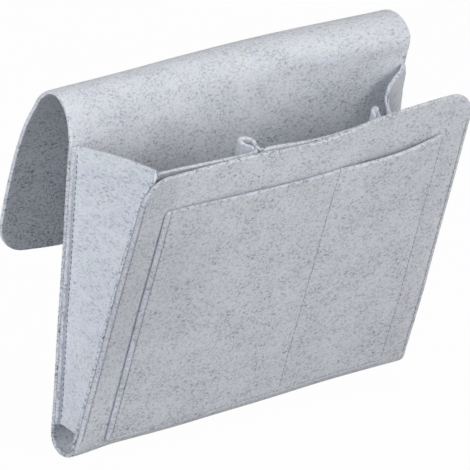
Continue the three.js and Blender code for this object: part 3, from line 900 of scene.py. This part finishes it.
# %% Plan of the inner panel
INNER_BOTTOM = 11 * MM
INNER_TOP = FRONT_LENGTH - 2.5 * MM
INNER_CORNER = 4 * MM
LOOP_HALF = 1.8 * MM
LOOP_FOOT = 2.2 * MM
LOOP_NECK = 2.5 * MM
LOOP_SPREAD = 6.5 * MM
FLAT_DEPTH = GAP + HALF
LOOPS = (-48 * MM, 71 * MM)
# For each loop its place across, half the width of its eye, and how far its tip leans.
LOOP_SHAPES = ((LOOPS[0], 4.7 * MM, -2.6 * MM), (LOOPS[1], 1.65 * MM, 6.2 * MM))


def loop_plan(centre, eye, skew):
    """Plan line round one loop as places across and depths behind the front."""
    foot = FLAT_DEPTH + LOOP_FOOT
    neck = foot + LOOP_NECK
    left = []
    for angle in np.linspace(0, math.pi / 2, 7):
        left.append((-LOOP_HALF - LOOP_FOOT * (1 - math.sin(angle)), foot - LOOP_FOOT * math.cos(angle)))
    left += [(-LOOP_HALF, foot + LOOP_NECK / 2), (-LOOP_HALF, neck)]
    for share in np.linspace(0, 1, 8)[1:-1]:
        ease = share * share * (3 - 2 * share)
        left.append((-LOOP_HALF - (eye - LOOP_HALF) * ease, neck + LOOP_SPREAD * share))
    tip = []
    for angle in np.linspace(math.pi, 0, 25):
        tip.append((eye * math.cos(angle), neck + LOOP_SPREAD + eye * math.sin(angle)))
    whole = left + tip + [(-px, depth) for px, depth in reversed(left)]
    reach = LOOP_NECK + LOOP_SPREAD + eye
    return [(centre + px + skew * max((depth - foot) / reach, 0) ** 1.5, depth) for px, depth in whole]


def flat_run(start, stop):
    count = max(3, int(round((stop - start) / (4 * MM))) + 1)
    return [(px, FLAT_DEPTH) for px in np.linspace(start, stop, count)]


inner_end = WIDTH / 2 - FRONT_INSET - GAP - EDGE
loop_reach = LOOP_HALF + LOOP_FOOT + 1 * MM
plan = [(-inner_end, FLAT_DEPTH), (-inner_end + 0.8 * MM, FLAT_DEPTH)]
run_start = -inner_end + 4 * MM
for loop in LOOP_SHAPES:
    plan += flat_run(run_start, loop[0] - loop_reach) + loop_plan(*loop)
    run_start = loop[0] + loop_reach
plan += flat_run(run_start, inner_end - 4 * MM)
plan += [(inner_end - 0.8 * MM, FLAT_DEPTH), (inner_end, FLAT_DEPTH)]
plan = np.array(plan)
run = np.concatenate([[0], np.cumsum(np.linalg.norm(np.diff(plan, axis=0), axis=1))])
print(f"the panel is {run[-1] / MM:.0f} mm long when its loops are laid flat")

# %% Shape of the inner panel
LEFT_DRAW = 2.5 * MM
LEFT_LOOP_RISE = 2.1 * MM
RIGHT_LOOP_RISE = 1.5 * MM
LEAN_BACK = ((-160, -140, -60, 160), (4.0, 3.6, 1.6, 1.6))
# How far the upper edge lies lower than the solid's: places across, heights and softness.
INNER_LOW = (
    (-160, -100, -60, -48, -38, -30, -12, 5, 30, 60, 160),
    (1.8, 2.8, 3.3, 2.0, 1.2, 1.2, 2.8, 3.9, 4.4, 4.9, 5.5),
    5,
)
top_rows, top_ends = corner_rows(INNER_TOP, inner_end + EDGE, INNER_CORNER, 0, 9)
inner_rows = np.concatenate(
    [
        [INNER_BOTTOM + EDGE, INNER_BOTTOM + 2 * EDGE],
        np.arange(INNER_BOTTOM + 5 * MM, INNER_TOP - INNER_CORNER - 2 * MM, 4 * MM),
        top_rows,
    ]
)
across, behind = plan[None, :, 0], plan[None, :, 1]
draw = np.concatenate([np.zeros(len(inner_rows) - len(top_rows)), inner_end - top_ends])[:, None]
squeeze = np.clip((np.abs(across) - inner_end) / (12 * MM) + 1, 0, 1)
x = across - np.sign(across) * squeeze * draw
x = x + (across < 0) * squeeze * LEFT_DRAW * ramp(inner_rows, 180, 220)[:, None] ** 1.5
along = np.tile(inner_rows[:, None], (1, len(plan)))
chart = np.stack(np.broadcast_arrays(run[None, :], along), axis=-1)
depth = behind + curve(x, *LEAN_BACK) * np.clip((along - POCKET_TOP) / (30 * MM), 0, 1) ** 1.5
normal = -grid_normals(front_spot(x, along, -FELT - depth))
loop_rise = np.where(x < 0, LEFT_LOOP_RISE, RIGHT_LOOP_RISE) * ramp(behind - FLAT_DEPTH, 0, 14)
along = along + (loop_rise - curve(x, *INNER_LOW)) * np.clip(along / INNER_TOP, 0, 1) ** 6
middle = front_spot(x, along, -FELT - depth)
print(len(inner_rows), "rows of", len(plan), "points")

# %% Inner panel
INNER_ROW = (16 * MM, 192 * MM)
GAP_SHADE = 0.9
on_flat = depth < FLAT_DEPTH + 0.1 * MM
dent = groove(np.abs(np.abs(x) - POCKET_ROW), along, *INNER_ROW) * on_flat
dent = dent + groove(np.abs(x - POCKET_SPLIT), along, *INNER_ROW) * on_flat
# The gap between the panel and the front is in shadow at the left end.
gap_shade = GAP_SHADE * ramp(x, -65, -125) * ramp(along, 200, 212)
gap_shade[-1] = 0
# The loops have fewer flecks than the flat panel, which makes them lighter: painted light.
inner_sheet = felt_body(
    "inner_sheet",
    middle,
    normal,
    chart,
    ALL_SIDES,
    dents=(dent, 0),
    origin=(1.6, 0.9),
    tone=(0.5, 0.0, 1 - 0.5 * ramp(behind - FLAT_DEPTH, 0, 6)),
    under_extra=(gap_shade, 1.0),
)

# %% [markdown]
# ## Stitches
# Each row is lockstitch: on both faces a chain of short stitches that dive into the same needle holes. Rows
# of stitches are often a texture or an array along a curve, but these are large enough in the picture to cast
# shadows. So one straight stitch is made with operators, copied for every pair of holes and bent into its
# place: sunk at both ends, a little proud in the middle, and never quite like its neighbour.

# %% One straight stitch
STITCH_RINGS = 9
STITCH_SIDES = 7
shape = bmesh.new()
bmesh.ops.create_cone(
    shape, cap_ends=True, segments=STITCH_SIDES, radius1=1, radius2=1, depth=STITCH_RINGS - 1
)
for ring in range(1, STITCH_RINGS - 1):
    bmesh.ops.bisect_plane(
        shape,
        geom=list(shape.verts) + list(shape.edges) + list(shape.faces),
        plane_co=(0, 0, ring - (STITCH_RINGS - 1) / 2),
        plane_no=(0, 0, 1),
    )
straight_stitch = bpy.data.meshes.new("straight_stitch")
shape.to_mesh(straight_stitch)
shape.free()
stitch_points = np.array([vertex.co for vertex in straight_stitch.vertices])
stitch_shares = np.round(stitch_points[:, 2] + (STITCH_RINGS - 1) / 2) / (STITCH_RINGS - 1)
stitch_angles = np.arctan2(stitch_points[:, 0], stitch_points[:, 1]) % (2 * math.pi)
print("one stitch has", len(straight_stitch.vertices), "points")

# %% Chains of stitches
THREAD_RADIUS = 0.31 * MM
WANDER = 0.1 * MM
LIFT_WANDER = 0.03 * MM
SINK = 1.15 * MM
PROUD = 1.2 * MM


def bent_stitches(holes, normal, seed):
    """Points and charts of one chain: straight stitches bent from hole to hole on one face."""
    rng = np.random.default_rng(seed)
    normal = np.array(normal, float)
    share, angle = stitch_shares[:, None], stitch_angles[:, None]
    swing = np.sin(math.pi * share) * (share < 1)
    slope = np.cos(math.pi * share)
    lift = swing**0.55
    girth = THREAD_RADIUS * (0.82 + 0.25 * swing)
    turn_share = stitch_angles / (2 * math.pi)
    seeds = np.full_like(turn_share, seed * 0.1)
    points, charts = [], []
    for index, (start, stop) in enumerate(zip(holes, holes[1:])):
        start, stop = np.array(start), np.array(stop)
        ahead = unit(stop - start)
        beside = np.cross(normal, ahead)
        shift = beside * rng.normal(0, WANDER) + normal * rng.normal(0, LIFT_WANDER)
        lean = beside * rng.normal(0, WANDER)
        place = start + (stop - start) * share + normal * (PROUD * lift - SINK)
        place = place + shift * lift + lean * (share - 0.5)
        tangent = unit(ahead * np.sqrt(np.maximum(1 - 0.7 * slope**2, 0.1)) + normal * 0.84 * slope)
        over = -unit(np.cross(tangent, beside))
        points.append(place + girth * (beside * np.cos(angle) + over * np.sin(angle)))
        charts.append(np.stack([(stitch_shares + index) * PITCH, turn_share, seeds], axis=1))
    return points, charts


def stitch_piece(name, runs):
    """All stitches of one row as one piece. runs holds the holes of each chain and the way it faces."""
    points, charts = [], []
    for seed, (holes, normal) in enumerate(runs):
        more_points, more_charts = bent_stitches(holes, normal, seed + len(name))
        points += more_points
        charts += more_charts
    shape = bmesh.new()
    for _ in points:
        shape.from_mesh(straight_stitch)
    chart_layer = shape.verts.layers.float_vector.new("thread_chart")
    places = settle(np.concatenate(points)).tolist()
    for vertex, place, chart in zip(shape.verts, places, np.concatenate(charts).tolist()):
        vertex.co = place
        vertex[chart_layer] = chart
    shape.normal_update()
    bmesh.ops.recalc_face_normals(shape, faces=shape.faces)
    return add_piece(name, shape)


print(f"thread {2 * THREAD_RADIUS / MM:.2f} mm thick")


# %% Holes of the rows
OUTWARD = np.array([0, -math.cos(LEAN), -math.sin(LEAN)])
FLANGE_FACE = 2 * FELT + GAP


def holes_between(first, last):
    return np.arange(first, last + 0.1 * MM, PITCH)


def upright_holes(x, depth):
    return [(x, -depth, z) for z in holes_between(*BACK_SEAM)]


def front_holes(x, out, span):
    return [tuple(front_spot(x, along, out)) for along in holes_between(*span)]


def through_front(x, out, span, inner_span):
    """Both chains of a row through the front: holes on its outer face and on the inner felt behind it."""
    return [(front_holes(x, out, span), OUTWARD), (front_holes(x, -FLANGE_FACE, inner_span), -OUTWARD)]


print(len(holes_between(*BACK_SEAM)), "needle holes in each back row")

# %% Rows of stitches
# The back rows lie a little further in and further out of the felt on the flange than at the rear.
FLANGE_IN = 0.4 * MM
FLANGE_OUT = 0.32 * MM
LOOP_ROW = (16 * MM, 228 * MM)
threads = {}
for side, word in ((-1, "left"), (1, "right")):
    x = side * SEAM_X
    # One short slanting stitch tacks each gusset above its rear corner.
    tack = [(x + side * 0.9 * MM, -FELT, 109.6 * MM), (x - side * 1.6 * MM, -FELT, 106.4 * MM)]
    runs = [
        (upright_holes(x, 0), (0, 1, 0)),
        (upright_holes(x - side * FLANGE_IN, FLANGE_FACE + FLANGE_OUT), (side * 0.6, -0.8, 0)),
        (tack, (0, -1, 0)),
    ]
    threads["back_seam_" + word] = stitch_piece("thread_back_" + word, runs)
    runs = through_front(x, 0, FRONT_SEAM, FRONT_SEAM)
    threads["front_seam_" + word] = stitch_piece("thread_front_" + word, runs)
    runs = through_front(side * POCKET_ROW, FELT + GAP, POCKET_SIDE, INNER_ROW)
    threads["pocket_seam_" + word] = stitch_piece("thread_pocket_" + word, runs)
runs = through_front(POCKET_SPLIT, FELT + GAP, POCKET_MIDDLE, INNER_ROW)
threads["pocket_seam_middle"] = stitch_piece("thread_pocket_middle", runs)
low = holes_between(*POCKET_LOW)
runs = [
    ([tuple(front_spot(px, BOTTOM_ROW, FELT + GAP)) for px in low], OUTWARD),
    ([tuple(front_spot(px, BOTTOM_ROW, -FELT)) for px in low], -OUTWARD),
]
threads["pocket_seam_bottom"] = stitch_piece("thread_pocket_bottom", runs)
leg_depth = FELT + FLAT_DEPTH + LOOP_FOOT + LOOP_NECK / 2
for centre, word in zip(LOOPS, ("left", "right")):
    runs = []
    for side in (-1, 1):
        x = centre + side * (LOOP_HALF + HALF)
        runs.append((front_holes(x, -leg_depth, LOOP_ROW), (side, 0, 0)))
    threads["loop_seam_" + word] = stitch_piece("thread_loop_" + word, runs)
bpy.data.meshes.remove(straight_stitch)
print(len(threads), "rows of stitches")

# %% [markdown]
# ## Materials
# Materials are trees of nodes. A few small functions add a node, set its values and link it, so that the felt
# and the thread below read as a list of steps.


# %% Node helpers
def link(tree, source, target):
    tree.links.new(source, target)


def add(tree, kind, **settings):
    node = tree.nodes.new(kind)
    for key, value in settings.items():
        setattr(node, key, value)
    return node


def noise(tree, vector, scale, detail, roughness, distortion=0.0):
    node = add(tree, "ShaderNodeTexNoise")
    node.inputs["Scale"].default_value = scale
    node.inputs["Detail"].default_value = detail
    node.inputs["Roughness"].default_value = roughness
    node.inputs["Distortion"].default_value = distortion
    link(tree, vector, node.inputs["Vector"])
    return node.outputs["Fac"]


def band(tree, value, low, high, low_out=0.0, high_out=1.0):
    node = add(tree, "ShaderNodeMapRange", clamp=True, interpolation_type="SMOOTHSTEP")
    node.inputs["From Min"].default_value = low
    node.inputs["From Max"].default_value = high
    node.inputs["To Min"].default_value = low_out
    node.inputs["To Max"].default_value = high_out
    link(tree, value, node.inputs["Value"])
    return node.outputs["Result"]


def math_node(tree, operation, *values):
    node = add(tree, "ShaderNodeMath", operation=operation)
    for socket, value in zip(node.inputs, values):
        if isinstance(value, (int, float)):
            socket.default_value = value
        else:
            link(tree, value, socket)
    return node.outputs["Value"]


def mix(tree, factor, first, second):
    node = add(tree, "ShaderNodeMix", data_type="RGBA")
    link(tree, factor, node.inputs["Factor"])
    for name, value in (("A", first), ("B", second)):
        socket = next(s for s in node.inputs if s.name == name and s.type == "RGBA")
        if isinstance(value, tuple):
            socket.default_value = value
        else:
            link(tree, value, socket)
    return next(s for s in node.outputs if s.type == "RGBA")


print("nodes are added and linked by", ", ".join(helper.__name__ for helper in (add, noise, band, mix)))


# %% Shader helpers
def cloth_material(name, roughness, specular, sheen):
    """A new material with a rough shader. Gives the material, its tree and the shader."""
    material = bpy.data.materials.new(name)
    material.use_nodes = True
    tree = material.node_tree
    shader = next(n for n in tree.nodes if n.type == "BSDF_PRINCIPLED")
    shader.inputs["Roughness"].default_value = roughness
    shader.inputs["Specular IOR Level"].default_value = specular
    shader.inputs["Sheen Weight"].default_value = sheen
    return material, tree, shader


def add_bump(tree, shader, height, strength, distance):
    bump = add(tree, "ShaderNodeBump")
    bump.inputs["Strength"].default_value = strength
    bump.inputs["Distance"].default_value = distance
    link(tree, height, bump.inputs["Height"])
    link(tree, bump.outputs["Normal"], shader.inputs["Normal"])


print("materials before:", len(bpy.data.materials))

# %% [markdown]
# ## Felt
# The felt is pressed from light and darker wool: a pale blue grey ground with dark curly fibres that lie
# denser in some places. A picture of felt could be wrapped on, but noise textures need no file and never
# repeat. Large noise makes clouds, middle noise clumps, fine noise the flecks, and the thin lines where a
# twisted noise crosses its middle value are single strands. Everything reads the place on the flat cut.


# %% Felt fibres
WOOL_LIGHT = ((0.708, 0.722, 0.788, 1), (0.702, 0.735, 0.772, 1))
WOOL_DEEP = ((0.658, 0.672, 0.742, 1), (0.648, 0.684, 0.725, 1))
WOOL_PALE = (0.78, 0.80, 0.84, 1)
WOOL_SHADE = (0.40, 0.41, 0.45, 1)
WOOL_DARK = (0.165, 0.178, 0.225, 1)


def felt_group():
    """Colour and height of pressed felt from the place on the flat cut."""
    tree = bpy.data.node_groups.new("felt_fibres", "ShaderNodeTree")
    for name in ("Place", "Tone"):
        tree.interface.new_socket(name, in_out="INPUT", socket_type="NodeSocketVector")
    tree.interface.new_socket("Color", in_out="OUTPUT", socket_type="NodeSocketColor")
    tree.interface.new_socket("Height", in_out="OUTPUT", socket_type="NodeSocketFloat")
    enter = add(tree, "NodeGroupInput")
    leave = add(tree, "NodeGroupOutput")
    stretch = add(tree, "ShaderNodeMapping")
    stretch.inputs["Scale"].default_value = (0.8, 1.15, 1.0)
    link(tree, enter.outputs["Place"], stretch.inputs["Vector"])
    place = stretch.outputs["Vector"]
    tone = add(tree, "ShaderNodeSeparateXYZ")
    link(tree, enter.outputs["Tone"], tone.inputs["Vector"])
    # Where fibres are: clouds, clumps, flecks and single strands.
    clouds = band(tree, noise(tree, place, 38, 3, 0.55), 0.34, 0.68)
    clumps = band(tree, noise(tree, place, 170, 3, 0.6, 0.4), 0.32, 0.66)
    flecks = band(tree, noise(tree, place, 560, 3, 0.62, 0.9), 0.44, 0.68)
    curls = noise(tree, place, 210, 2, 0.5, 1.6)
    ridge = math_node(tree, "ABSOLUTE", math_node(tree, "SUBTRACT", curls, 0.5))
    strands = band(tree, ridge, 0.0, 0.035, 1.0, 0.0)
    # How dark they are, with the tone's edge and flecks.
    density = math_node(tree, "MULTIPLY_ADD", clumps, 0.5, 0.44)
    cut = math_node(tree, "MULTIPLY", tone.outputs["X"], 0.6)
    density = math_node(tree, "ADD", math_node(tree, "MULTIPLY", density, tone.outputs["Z"]), cut)
    thick = math_node(tree, "MULTIPLY_ADD", clouds, 0.3, 0.66)
    dark = math_node(tree, "MULTIPLY", math_node(tree, "MULTIPLY", flecks, density), thick)
    lines = math_node(tree, "MULTIPLY", math_node(tree, "MULTIPLY", strands, clumps), 0.16)
    mask = math_node(tree, "MINIMUM", math_node(tree, "ADD", dark, lines), 1.0)
    # The ground's colours, the tone's painted shade and the dark fibres over them.
    pale = band(tree, noise(tree, place, 830, 2, 0.5, 0.6), 0.5, 0.75)
    tint = band(tree, noise(tree, place, 65, 2, 0.5), 0.42, 0.6)
    ground = mix(tree, clouds, mix(tree, tint, *WOOL_LIGHT), mix(tree, tint, *WOOL_DEEP))
    wool = mix(tree, math_node(tree, "MULTIPLY", pale, 0.45), ground, WOOL_PALE)
    shaded = mix(tree, tone.outputs["Y"], wool, WOOL_SHADE)
    colour = mix(tree, mask, shaded, WOOL_DARK)
    fine = noise(tree, place, 1400, 3, 0.65, 0.5)
    low_waves = math_node(tree, "MULTIPLY", curls, 0.5)
    height = math_node(tree, "ADD", math_node(tree, "MULTIPLY", fine, 0.5), low_waves)
    link(tree, colour, leave.inputs["Color"])
    link(tree, height, leave.inputs["Height"])
    return tree


fibres = felt_group()
print(f"{fibres.name}: {len(fibres.nodes)} nodes")

# %% Felt
felt, tree, shader = cloth_material("grey_felt", 0.95, 0.15, 0.25)
shader.inputs["Sheen Roughness"].default_value = 0.6
group = add(tree, "ShaderNodeGroup")
group.node_tree = fibres
for name, socket in (("felt_chart", "Place"), ("felt_tone", "Tone")):
    attribute = add(tree, "ShaderNodeAttribute", attribute_name=name)
    link(tree, attribute.outputs["Vector"], group.inputs[socket])
link(tree, group.outputs["Color"], shader.inputs["Base Color"])
add_bump(tree, shader, group.outputs["Height"], 0.28, 0.35 * MM)
felt_pieces = [front_sheet, back_sheet, flap_sheet, left_gusset, right_gusset, pocket_sheet, inner_sheet]
for piece in felt_pieces:
    piece.data.materials.append(felt)
print(len(felt_pieces), "pieces of felt")

# %% [markdown]
# ## Thread
# The thread is a twisted grey yarn, a little darker than the felt. A second bevelled curve could be wound
# round each stitch, but at this size a striped colour with a bump does the same: the stripe runs along the
# stitch and round it at once. The two back rows are darker, and four rows that hardly show are paler:
# painted light over the shade of their grooves.


# %% Thread
def thread_material(name, deep, pale):
    material, tree, shader = cloth_material(name, 0.7, 0.3, 0.2)
    chart = add(tree, "ShaderNodeAttribute", attribute_name="thread_chart")
    parts = add(tree, "ShaderNodeSeparateXYZ")
    link(tree, chart.outputs["Vector"], parts.inputs["Vector"])
    along = math_node(tree, "MULTIPLY", parts.outputs["X"], 1500)
    around = math_node(tree, "MULTIPLY", parts.outputs["Y"], 2)
    twist = math_node(tree, "FRACT", math_node(tree, "ADD", along, around))
    ply = math_node(tree, "ABSOLUTE", math_node(tree, "SUBTRACT", twist, 0.5))
    tone = band(tree, ply, 0.05, 0.45)
    link(tree, mix(tree, tone, deep, pale), shader.inputs["Base Color"])
    add_bump(tree, shader, tone, 0.6, 0.1 * MM)
    return material


yarn = thread_material("grey_thread", (0.21, 0.22, 0.29, 1), (0.36, 0.38, 0.46, 1))
pale_yarn = thread_material("pale_thread", (0.27, 0.28, 0.34, 1), (0.43, 0.45, 0.52, 1))
dark_yarn = thread_material("dark_thread", (0.10, 0.11, 0.18, 1), (0.22, 0.24, 0.33, 1))
# The paler thread on these rows is painted light.
PALE_ROWS = ("pocket_seam_middle", "pocket_seam_bottom", "pocket_seam_right", "front_seam_right")
for node, piece in threads.items():
    row_yarn = pale_yarn if node in PALE_ROWS else yarn
    piece.data.materials.append(dark_yarn if node.startswith("back") else row_yarn)
print("rows in paler thread:", ", ".join(PALE_ROWS))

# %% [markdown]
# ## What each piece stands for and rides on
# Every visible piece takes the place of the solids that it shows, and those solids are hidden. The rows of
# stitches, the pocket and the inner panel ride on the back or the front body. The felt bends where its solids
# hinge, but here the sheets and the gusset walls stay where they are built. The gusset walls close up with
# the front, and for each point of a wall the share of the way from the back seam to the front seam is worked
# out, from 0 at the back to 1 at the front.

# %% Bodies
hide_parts("front_panel", "back_panel")
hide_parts("back_panel", "flap_crown")
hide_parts("flap_crown", "flap_tail")
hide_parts("left_gusset")
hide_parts("right_gusset")
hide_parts("front_pocket")
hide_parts("inner_panel")
for node, piece in threads.items():
    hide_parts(node)
    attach(piece, "back" if node.startswith("back") else "front")
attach(pocket_sheet, "front")
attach(inner_sheet, "front")
print("pieces that ride on one body:", len(threads) + 2)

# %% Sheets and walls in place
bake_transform(front_sheet)
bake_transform(back_sheet)
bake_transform(flap_sheet)
for wall, follow in ((left_gusset, left_follow), (right_gusset, right_follow)):
    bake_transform(wall)
print(f"the left wall follows the front by {left_follow.min():.0f} to {left_follow.max():.0f}")

# %% [markdown]

# %% [markdown]
# ## Light and floor
# The photograph has soft studio light from the upper left and front on white. A bright white world would
# light the caddy from all sides and take away its shadows. So the world is white only where the camera sees
# it and nearly dark as a light, and four large lamps do the lighting. The floor glows for the camera, so it
# is as white as the world, and keeps a small share of its plain shading for the shadow.

# %% White surroundings
world = bpy.data.worlds.new("studio")
bpy.context.scene.world = world
world.use_nodes = True
tree = world.node_tree
sky = next(n for n in tree.nodes if n.type == "BACKGROUND")
sky.inputs["Color"].default_value = (1, 1, 1, 1)
paths = add(tree, "ShaderNodeLightPath")
seen_white = math_node(tree, "MAXIMUM", paths.outputs["Is Camera Ray"], paths.outputs["Is Glossy Ray"])
seen_white = math_node(tree, "MAXIMUM", seen_white, paths.outputs["Is Transmission Ray"])
level = add(tree, "ShaderNodeMapRange")
level.inputs["To Min"].default_value = 0.03
level.inputs["To Max"].default_value = 1.0
link(tree, seen_white, level.inputs["Value"])
link(tree, level.outputs["Result"], sky.inputs["Strength"])
print(f"{world.name}: {len(tree.nodes)} nodes")

# %% Lamps
LAMP_SIZE = 1.0
# Each lamp: name, place in metres, power in watts and colour. All of them point at the origin.
LAMPS = (
    ("left_window", (-1.5, -0.25, 0.4), 15.7, (0.93, 0.965, 1.0)),
    ("front_softbox", (0.3, -1.6, 0.62), 16.5, (1.0, 0.985, 0.97)),
    ("overhead", (0.1, -0.45, 1.75), 13.2, (1.0, 1.0, 1.0)),
    ("back_fill", (0.5, 1.7, 0.8), 8.0, (1.0, 1.0, 1.0)),
)
for name, place, energy, colour in LAMPS:
    lamp = bpy.data.lights.new(name, "AREA")
    lamp.shape = "SQUARE"
    lamp.size = LAMP_SIZE
    lamp.energy = energy
    lamp.color = colour
    item = bpy.data.objects.new(name, lamp)
    bpy.context.scene.collection.objects.link(item)
    item.location = place
    item.rotation_mode = "QUATERNION"
    item.rotation_quaternion = (-Vector(place)).to_track_quat("-Z", "Y")
print(len(LAMPS), "lamps")

# %% Floor
FLOOR_SIZE = 12
FLOOR_GLOW = 0.98
floor_z = float(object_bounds()[0].z) - 0.2 * MM
floor_mesh = bpy.data.meshes.new("floor")
shape = bmesh.new()
bmesh.ops.create_grid(shape, x_segments=2, y_segments=2, size=FLOOR_SIZE)
shape.to_mesh(floor_mesh)
shape.free()
floor = bpy.data.objects.new("floor", floor_mesh)
floor.location = (0, 0, floor_z)
bpy.context.scene.collection.objects.link(floor)
pale = bpy.data.materials.new("pale_floor")
pale.use_nodes = True
tree = pale.node_tree
shader = next(n for n in tree.nodes if n.type == "BSDF_PRINCIPLED")
shader.inputs["Base Color"].default_value = (0.5, 0.5, 0.5, 1)
shader.inputs["Roughness"].default_value = 0.9
output = next(n for n in tree.nodes if n.type == "OUTPUT_MATERIAL")
glow = add(tree, "ShaderNodeEmission")
glow.inputs["Strength"].default_value = 1.0
blend = add(tree, "ShaderNodeMixShader")
paths = add(tree, "ShaderNodeLightPath")
share = math_node(tree, "MULTIPLY", paths.outputs["Is Camera Ray"], FLOOR_GLOW)
link(tree, share, blend.inputs["Fac"])
link(tree, shader.outputs["BSDF"], blend.inputs[1])
link(tree, glow.outputs["Emission"], blend.inputs[2])
link(tree, blend.outputs["Shader"], output.inputs["Surface"])
floor.data.materials.append(pale)
floor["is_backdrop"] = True
print(f"floor at Z {floor_z / MM:.1f} mm")

low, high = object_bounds()
print("visible box in mm:", [round(value / MM, 1) for value in (*low, *high)])
